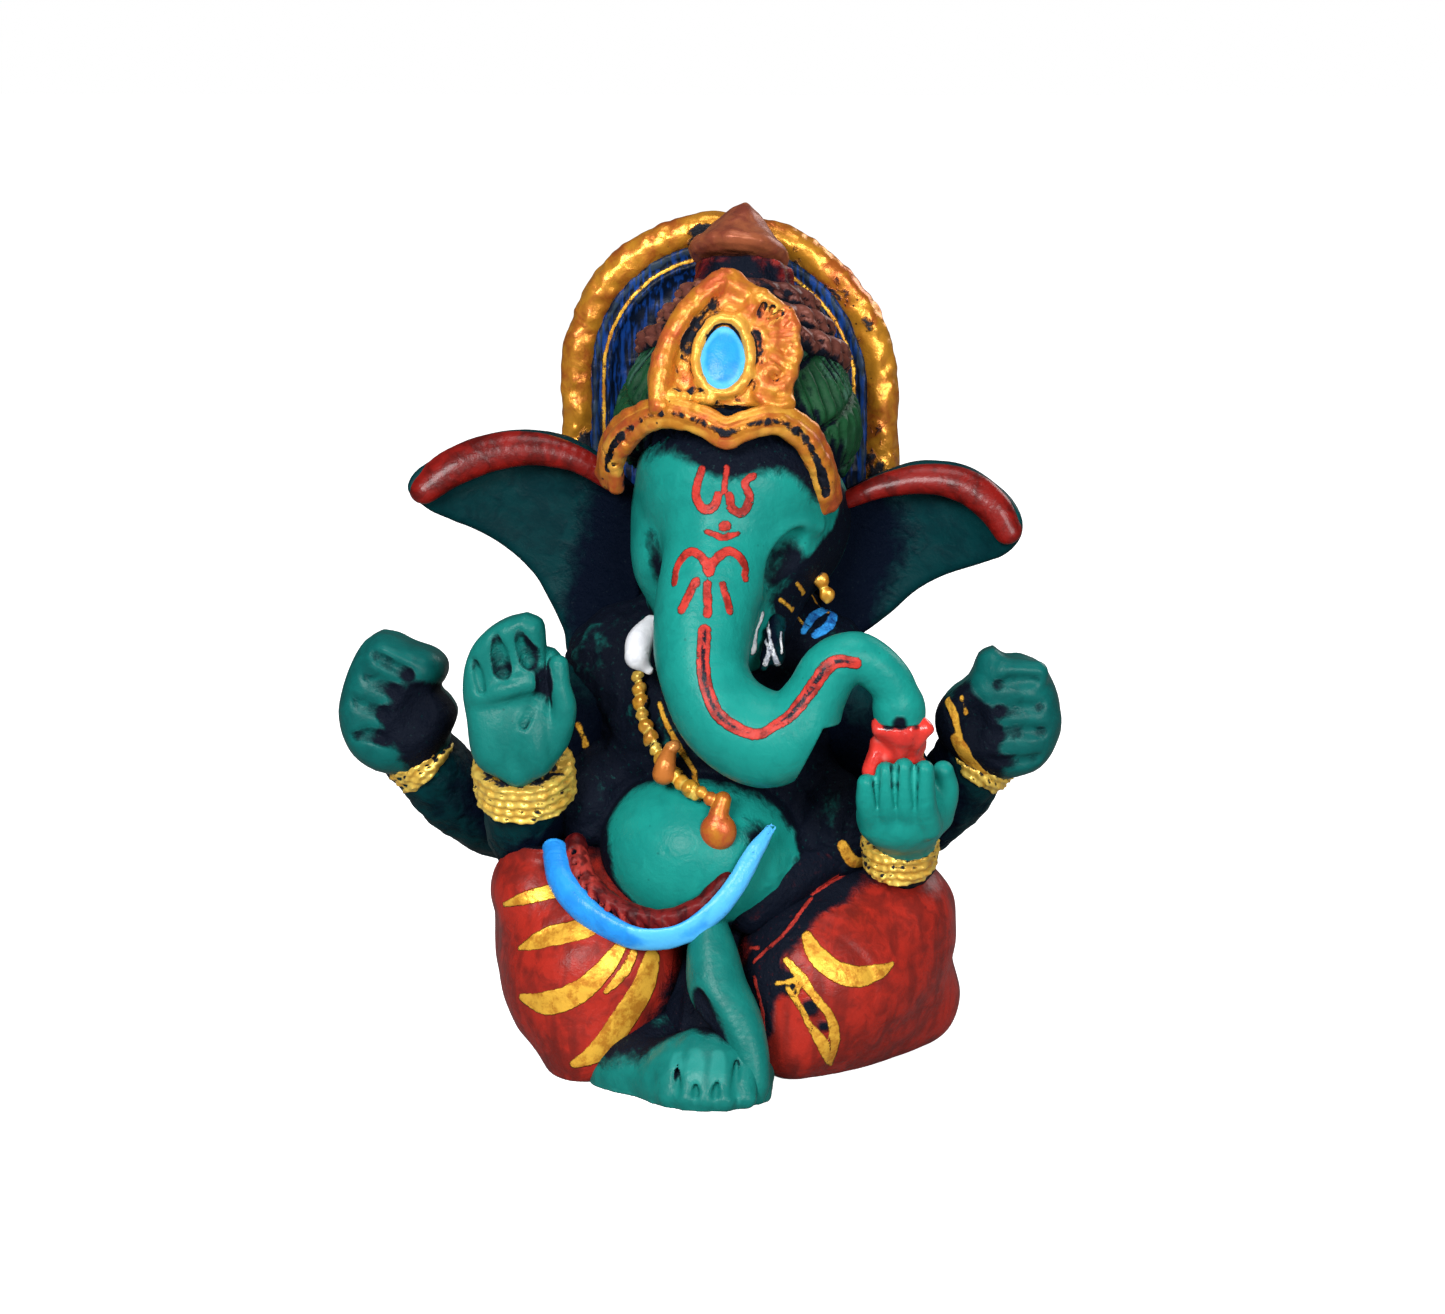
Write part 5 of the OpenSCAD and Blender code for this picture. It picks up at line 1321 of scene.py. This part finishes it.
def fist(name, outline, lumps, grooves, scoop, shade_and_wash, lines):
    """A closed hand cut to an outline, with grooves between its fingers and a hollow by the thumb."""
    low, high = np.min(outline, axis=0), np.max(outline, axis=0)
    clay = Clay((low[0] - 1.5, -7.0, low[1] - 4.5), (high[0] + 1.5, 5.0, high[1] + 1.5), 0.2)
    clay.add(pillow(spline(list(outline) + [outline[0]], 3)[:-1], lambda x, z: -0.9, 3.9, 2.9))
    for shape in lumps:
        clay.add(shape, 0.9)
    for line in grooves:
        clay.cut(tube(line, [0.35] + [0.62] * (len(line) - 2) + [0.45], 3), 0.7)
    clay.cut(scoop, 1.0)
    clay.rough(0.07, 1.5)
    # Painted shade: the fist takes a darker copy of the teal, with darkness in its finger grooves and by the
    # thumb, along with the dark wash.
    dark = [(x, y, z, 0.9, 0.42) for line in grooves for x, y, z in line]
    cast(clay, name, "teal_skin_paint", SKIN_DIM, dark + shade_and_wash, lines)


def hands():
    fist("rear_left_fist",
         [(-32.7, 41.2), (-34.1, 40.4), (-35.4, 38.4), (-36.4, 35.9), (-36.9, 33.4), (-36.6, 31.0),
          (-35.4, 28.9),
          (-33.2, 27.3), (-30.4, 27.4), (-27.6, 29.0), (-25.8, 31.4), (-25.3, 33.2), (-26.0, 34.6),
          (-26.9, 35.6),
          (-26.2, 36.9), (-26.3, 38.3), (-27.4, 39.4), (-29.4, 40.1), (-31.2, 40.9)],
         [tube([(-31.8, -3.8, 39.0), (-28.4, -3.4, 37.8)], 1.5),
          tube([(-31.4, -0.4, 31.0), (-28.9, 0.4, 28.2)], [3.6, 3.4])],
         [[(-32.8, -4.9, 39.6), (-31.4, -5.1, 38.8), (-29.4, -5.0, 37.7)],
          [(-33.9, -4.9, 37.3), (-32.4, -5.1, 36.6), (-30.8, -5.0, 35.9)],
          [(-35.0, -4.7, 34.8), (-33.4, -5.1, 34.2), (-31.8, -5.0, 33.7)],
          [(-34.8, -4.6, 31.2), (-33.4, -4.9, 31.5), (-32.0, -4.9, 31.1)]],
         egg((-28.6, -5.6, 34.0), (1.7, 1.8, 2.8), (0, 20, 0)),
         [(-28.0, -4, 34.6, 2.9, 0.75), (-29.0, -4, 30.8, 2.8, 0.6), (-26.0, -2, 33, 2.4, 0.7),
          (-28.6, -3, 28.6, 2.4, 0.4),
          (-30.8, -4.4, 33.0, 1.4, 0.4), (-33.9, -4.6, 28.4, 1.3, 0.3)], [])
    fist("rear_right_fist",
         [(27.4, 40.3), (26.0, 39.5), (25.1, 37.4), (23.0, 35.6), (21.9, 33.6), (22.2, 31.4), (23.8, 29.6),
          (26.2, 28.4), (29.0, 27.6), (31.6, 28.2), (33.2, 29.8), (34.1, 32.2), (34.0, 34.6), (33.2, 37.0),
          (31.9, 38.7),
          (30.2, 39.5), (28.6, 39.5)],
         [tube([(26.9, -3.2, 36.6), (27.4, -2.8, 39.0)], 1.2),
          tube([(28.4, -0.4, 31.4), (26.2, 0.6, 28.8)], [3.6, 3.4]),
          tube([(28.6, -3.9, 38.5), (31.6, -3.4, 38.2)], 1.2)],
         [[(28.0, -5.0, 37.3), (29.8, -5.1, 37.6), (31.6, -4.7, 37.7)],
          [(28.3, -5.0, 34.8), (30.2, -5.1, 35.0), (32.1, -4.7, 35.2)],
          [(27.6, -5.0, 32.4), (30.0, -5.1, 32.7), (32.3, -4.6, 32.7)],
          [(27.6, -4.7, 29.7), (29.8, -4.8, 29.6), (31.8, -4.3, 29.9)]],
         egg((25.6, -5.4, 33.4), (1.6, 1.9, 2.6)),
         [(25.2, -4, 33.6, 2.8, 0.75), (25.8, -4, 30.6, 2.8, 0.65), (22.6, -1, 33, 3.0, 0.8),
          (25.2, -3, 36.4, 1.6, 0.4),
          (28.0, -3, 28.6, 1.8, 0.5), (33.4, -3.4, 33.0, 0.6, 0.2)],
         [("gold_line", [(23.1, 35.3, 0.35), (23.8, 34.1, 0.4), (24.3, 32.1, 0.3)]),
          ("gold_line", [(24.5, 35.8, 0.2), (24.9, 34.3, 0.25)]),
          ("gold_line", [(24.0, 31.8, 0.6), (25.1, 29.7, 0.8), (26.8, 27.9, 0.6)])])

    mitten = spline([(-16.4, 45.2), (-18.5, 44.5), (-20.1, 43.5), (-21.8, 41.5), (-22.5, 39.0), (-22.6, 36.6),
                     (-22.1, 33.9),
                     (-21.2, 31.4), (-19.6, 29.4), (-17.6, 28.1), (-15.5, 29.3), (-14.4, 31.6), (-13.4, 34.2),
                     (-14.2, 36.6), (-14.6, 39.2), (-14.6, 42.4), (-14.9, 44.4), (-16.4, 45.2)], 3)[:-1]
    clay = Clay((-24.4, -18.6, 22.0), (-10.4, -6.0, 46.8), 0.2)
    clay.add(pillow(mitten, lambda x, z: -13.6 - 0.14 * np.maximum(z - 36, 0), 2.0, 1.5))
    web = [(-16.4, 41.6), (-14.0, 41.4), (-12.9, 39.4), (-12.6, 36.4), (-12.9, 32.4), (-15.6, 31.0),
           (-17.0, 35.0)]
    clay.add(pillow(spline(web + [web[0]], 3)[:-1], lambda x, z: -13.2, 1.4, 0.8), 0.4)
    clay.add(egg((-19.3, -14.4, 33.2), (2.3, 1.9, 3.6), (0, 16, 0)), 1.4)
    clay.add(egg((-15.8, -14.4, 32.8), (1.7, 2.0, 3.4), (0, -14, 0)), 1.2)
    clay.add(tube([(-20.6, -15.3, 37.2), (-18.4, -15.9, 37.9), (-16.0, -15.8, 38.6)], [0.7, 0.85, 0.8], 4),
             0.9)
    clay.add(tube([(-18.8, -15.9, 39.4), (-16.8, -15.9, 39.8)], 0.45), 0.5)
    clay.add(tube([(-17.6, -10.8, 30.6), (-17.5, -9.2, 27.4)], [2.6, 3.4]), 1.5)
    slots = (([(-21.2, -15.9, 40.4), (-20.9, -16.0, 39.2), (-20.6, -15.9, 37.9)], [0.35, 0.5, 0.4]),
             ([(-19.1, -16.5, 43.0), (-18.8, -16.4, 41.4), (-18.5, -16.1, 39.8)], [0.35, 0.85, 0.8]),
             ([(-16.9, -16.8, 43.6), (-16.5, -16.5, 42.2), (-16.0, -16.1, 40.8)], [0.35, 0.8, 0.85]),
             ([(-15.8, -16.4, 41.4), (-14.9, -16.2, 40.6), (-14.6, -15.9, 38.6)], [0.7, 0.7, 0.7]),
             ([(-14.5, -15.9, 37.6), (-15.6, -16.1, 36.6), (-16.6, -16.1, 34.6)], [0.7, 0.6, 0.4]))
    for line, r in slots:
        clay.cut(tube(line, r, 3), 0.4)
    clay.add(tube([(-15.2, -13.4, 30.8), (-13.7, -14.2, 33.2), (-12.9, -14.8, 36.0), (-13.3, -14.9, 38.4),
                   (-13.4, -14.8, 40.2)], [1.3, 1.35, 1.2, 1.05, 0.95], 5), 0.5)
    clay.rough(0.06, 1.6)
    # Painted shade: the palm takes the shaded copy of the teal, with darkness in the slots between the
    # fingers and by the thumb.
    dark = [(x, y, z, 1.0, ink) for (line, r), ink in zip(slots, (0.08, 0.42, 0.42, 0.3, 0.12)) for x, y,
            z in line]
    cast(clay, "open_palm", "teal_skin_paint", SKIN_MID, dark + [
        (-14.8, -15.4, 38.8, 1.5, 0.4), (-15.4, -16, 42.6, 1.0, 0.25), (-15.4, -16, 36.0, 1.7, 0.15),
        (-20.8, -15.6, 40.8, 1.4, 0.2), (-18.4, -16, 40.4, 1.2, 0.2), (-12.5, -12, 34, 1.6, 0.3)])

    hand = Clay((13.4, -20.2, 17.4), (26.6, -5.2, 35.0), 0.2)
    hand.add(egg((19.3, -13.6, 27.2), (4.4, 3.6, 4.2), (0, 0, 0)))
    hand.add(tube([(19.2, -12.2, 25.4), (19.2, -9.4, 22.2)], [3.4, 3.0]), 1.5)
    hand.add(egg((18.4, -14.8, 26.0), (3.5, 3.0, 2.8)), 1.0)
    for x0, x1, top in ((16.0, 15.9, 30.2), (17.7, 17.6, 31.4), (19.4, 19.3, 31.8), (21.2, 21.2, 31.6)):
        hand.add(tube([(x0 + 0.4, -15.8, 25.6), (x0, -17.7, 28.4), (x1, -18.4, top)], [1.3, 1.2, 0.95], 4),
                 0.35)
    hand.add(tube([(22.6, -13.2, 26.0), (23.2, -14.2, 28.6), (22.9, -15.0, 30.8)], [1.3, 1.15, 1.0], 4), 0.5)
    gaps = [[(x, -19.1, 32.0), (x, -19.1, 30.2), (x + 0.1, -18.4, 28.0)] for x in (16.8, 18.5, 20.3)]
    gaps.append([(22.2, -17.4, 32.4), (22.3, -17.0, 30.0), (22.2, -16.4, 28.2)])
    for line in gaps:
        hand.cut(tube(line, [0.45, 0.4, 0.15], 3), 0.25)
    hand.rough(0.06, 1.5)
    dark = [(x, y, z, 0.8, 0.34) for line in gaps for x, y, z in line[:2]]
    cast(hand, "sweet_hand", "teal_skin_paint", SKIN,
         dark + [(15.6, -15, 25.0, 1.6, 0.2), (19, -12, 22.6, 2.4, 0.4)])

    sweet = Clay((14.0, -21.4, 27.4), (24.0, -11.8, 39.0), 0.2)
    sweet.add(tube([(19.0, -15.0, 29.6), (19.1, -15.9, 33.0), (19.2, -17.4, 35.2)], [2.5, 2.1, 2.2], 5))
    sweet.add(tube([(17.2, -18.4, 35.5), (21.0, -18.2, 35.5)], 0.95), 0.6)
    sweet.add(tube([(17.0, -17.0, 33.4), (16.2, -17.4, 31.2)], [1.1, 0.8]), 0.7)
    sweet.rough(0.26, 1.0)
    cast(sweet, "sweet", "red_paint", SWEET_RED,
         [(17.8, -19.4, 35.9, 0.8, 0.7), (19.2, -19.4, 36.0, 0.8, 0.7), (20.5, -19.2, 35.9, 0.7, 0.6),
          (19.6, -18.4, 34.0, 0.7, 0.5)])


def bracelet(name, centre, axis, r, half, lean=0.0):
    """A wide crinkled band round an arm; lean opens it toward the hand."""
    c = np.array(centre, float)
    n = np.array(axis, float)
    n /= np.linalg.norm(n)
    reach = r + half + 1.2
    clay = Clay(c - reach, c + reach, 0.2)
    u = np.cross(n, (0, 1, 0.2))
    u /= np.linalg.norm(u)
    own = np.column_stack([u, np.cross(n, u), n])
    edge = 0.35

    def dist(x, y, z):
        a, b, along = local(x, y, z, c, own)
        turn = np.arctan2(b, a)
        crinkle = 0.16 * np.cos(along * 6.6 + 0.9 * np.sin(3 * turn) + 0.5 * np.sin(7 * turn))
        crinkle = crinkle + 0.08 * np.sin(turn * 23 + 5 * along)
        rad = np.hypot(a, b) - r - lean * along - crinkle
        side = np.maximum(np.abs(along) - half + edge, 0)
        return np.where(rad + edge > 0, np.hypot(side, rad + edge), np.maximum(side, rad + edge)) - edge

    clay.add(whole(c - reach, c + reach, dist))
    clay.rough(0.15, 0.7)
    cast(clay, name, "gold_paint", GOLD_DARK)


def bracelets():
    bracelet("rear_left_bracelet", (-29.3, 0.3, 27.9), (-0.7, -0.15, 0.7), 3.55, 1.6)
    bracelet("rear_right_bracelet", (26.6, 0.3, 29.2), (0.62, -0.15, 0.75), 3.6, 1.8)
    bracelet("front_left_bracelet", (-17.4, -10.0, 28.4), (0.0, -0.45, 0.89), 4.85, 2.0)
    bracelet("front_right_bracelet", (18.8, -9.4, 21.7), (0.0, -0.35, 0.94), 3.6, 1.8, 0.08)


for build in (halo, crown, plaque, diadem, head, ears, tusks, torso, hips, strings, sashes, legs, arms, hands,
              bracelets):
    build()
make_pieces()


# ---------------------------------------------------------------- stage

# What the figure is lit and seen around, in metres, and where the camera stands from it.
CENTRE = Vector((0, 0, 0.040))
AZIMUTH, ELEVATION = math.radians(5), math.radians(10)
DISTANCE = 0.335
FOCAL, SENSOR = 85, 36
# How far the picture is shifted, in its own widths, to lie over the photo.
LENS_SHIFT = (0.0063, -0.0097)
# Each light's place and size in metres, and its power in watts.
LIGHTS = {
    "key": ((-0.20, -0.60, 0.34), 0.26, 5.2),
    "fill": ((0.30, -0.60, 0.20), 0.26, 3.2),
    "top": ((0.0, -0.10, 0.62), 0.30, 1.2),
    "rim": ((0.30, 0.40, 0.30), 0.25, 0.8),
}
FLOOR_HALF = 6
# The sky's strength on the figure, and as the camera sees it.
SKY = (0.08, 1.0)
# The floor's own glow for the camera, its paleness there, and its paleness in the light it returns.
FLOOR_GLOW, FLOOR_SEEN, FLOOR_LIT = 1.0, 0.8, 0.25


def area(name, place, size, power):
    light = bpy.data.lights.new(name, "AREA")
    light.shape = "DISK"
    light.size = size
    light.energy = power
    obj = bpy.data.objects.new(name, light)
    bpy.context.scene.collection.objects.link(obj)
    obj.location = place
    obj.rotation_euler = (CENTRE - Vector(place)).to_track_quat("-Z", "Y").to_euler()


def white_ground(name):
    """A surface that is plain white to the camera and returns little light to the figure."""
    material = bpy.data.materials.new(name)
    material.use_nodes = True
    tree = material.node_tree
    tree.nodes.clear()
    path = tree.nodes.new("ShaderNodeLightPath")
    mix = tree.nodes.new("ShaderNodeMixShader")
    out = tree.nodes.new("ShaderNodeOutputMaterial")
    glow = tree.nodes.new("ShaderNodeEmission")
    glow.inputs["Strength"].default_value = FLOOR_GLOW
    matt = tree.nodes.new("ShaderNodeBsdfDiffuse")
    matt.inputs["Color"].default_value = (FLOOR_SEEN, FLOOR_SEEN, FLOOR_SEEN, 1)
    both = tree.nodes.new("ShaderNodeAddShader")
    tree.links.new(glow.outputs[0], both.inputs[0])
    tree.links.new(matt.outputs[0], both.inputs[1])
    dim = tree.nodes.new("ShaderNodeBsdfDiffuse")
    dim.inputs["Color"].default_value = (FLOOR_LIT, FLOOR_LIT, FLOOR_LIT, 1)
    tree.links.new(path.outputs["Is Camera Ray"], mix.inputs[0])
    tree.links.new(dim.outputs[0], mix.inputs[1])
    tree.links.new(both.outputs[0], mix.inputs[2])
    tree.links.new(mix.outputs[0], out.inputs["Surface"])
    return material


def stage():
    floor_mesh = bpy.data.meshes.new("floor")
    corners = [(FLOOR_HALF * x, FLOOR_HALF * y, start_box[0].z) for x,
               y in ((-1, -1), (1, -1), (1, 1), (-1, 1))]
    floor_mesh.from_pydata(corners, [], [(0, 1, 2, 3)])
    floor = bpy.data.objects.new("floor", floor_mesh)
    bpy.context.scene.collection.objects.link(floor)
    floor_mesh.materials.append(white_ground("floor_white"))

    for name, (place, size, power) in LIGHTS.items():
        area(name, place, size, power)

    world = bpy.data.worlds.new("studio")
    bpy.context.scene.world = world
    world.use_nodes = True
    tree = world.node_tree
    tree.nodes.clear()
    path = tree.nodes.new("ShaderNodeLightPath")
    mix = tree.nodes.new("ShaderNodeMixShader")
    out = tree.nodes.new("ShaderNodeOutputWorld")
    for i, strength in enumerate(SKY):
        b = tree.nodes.new("ShaderNodeBackground")
        b.inputs["Color"].default_value = (1, 1, 1, 1)
        b.inputs["Strength"].default_value = strength
        tree.links.new(b.outputs[0], mix.inputs[1 + i])
    tree.links.new(path.outputs["Is Camera Ray"], mix.inputs[0])
    tree.links.new(mix.outputs[0], out.inputs["Surface"])

    lens = bpy.data.cameras.new("camera")
    lens.lens = FOCAL
    lens.sensor_width = SENSOR
    lens.clip_start = 0.01
    lens.shift_x, lens.shift_y = LENS_SHIFT
    camera = bpy.data.objects.new("camera", lens)
    bpy.context.scene.collection.objects.link(camera)
    level = math.cos(ELEVATION)
    way = Vector((math.sin(AZIMUTH) * level, -math.cos(AZIMUTH) * level, math.sin(ELEVATION)))
    camera.location = CENTRE + DISTANCE * way
    camera.rotation_euler = (CENTRE - camera.location).to_track_quat("-Z", "Y").to_euler()
    bpy.context.scene.camera = camera
    bpy.context.scene.view_settings.view_transform = "Standard"


stage()
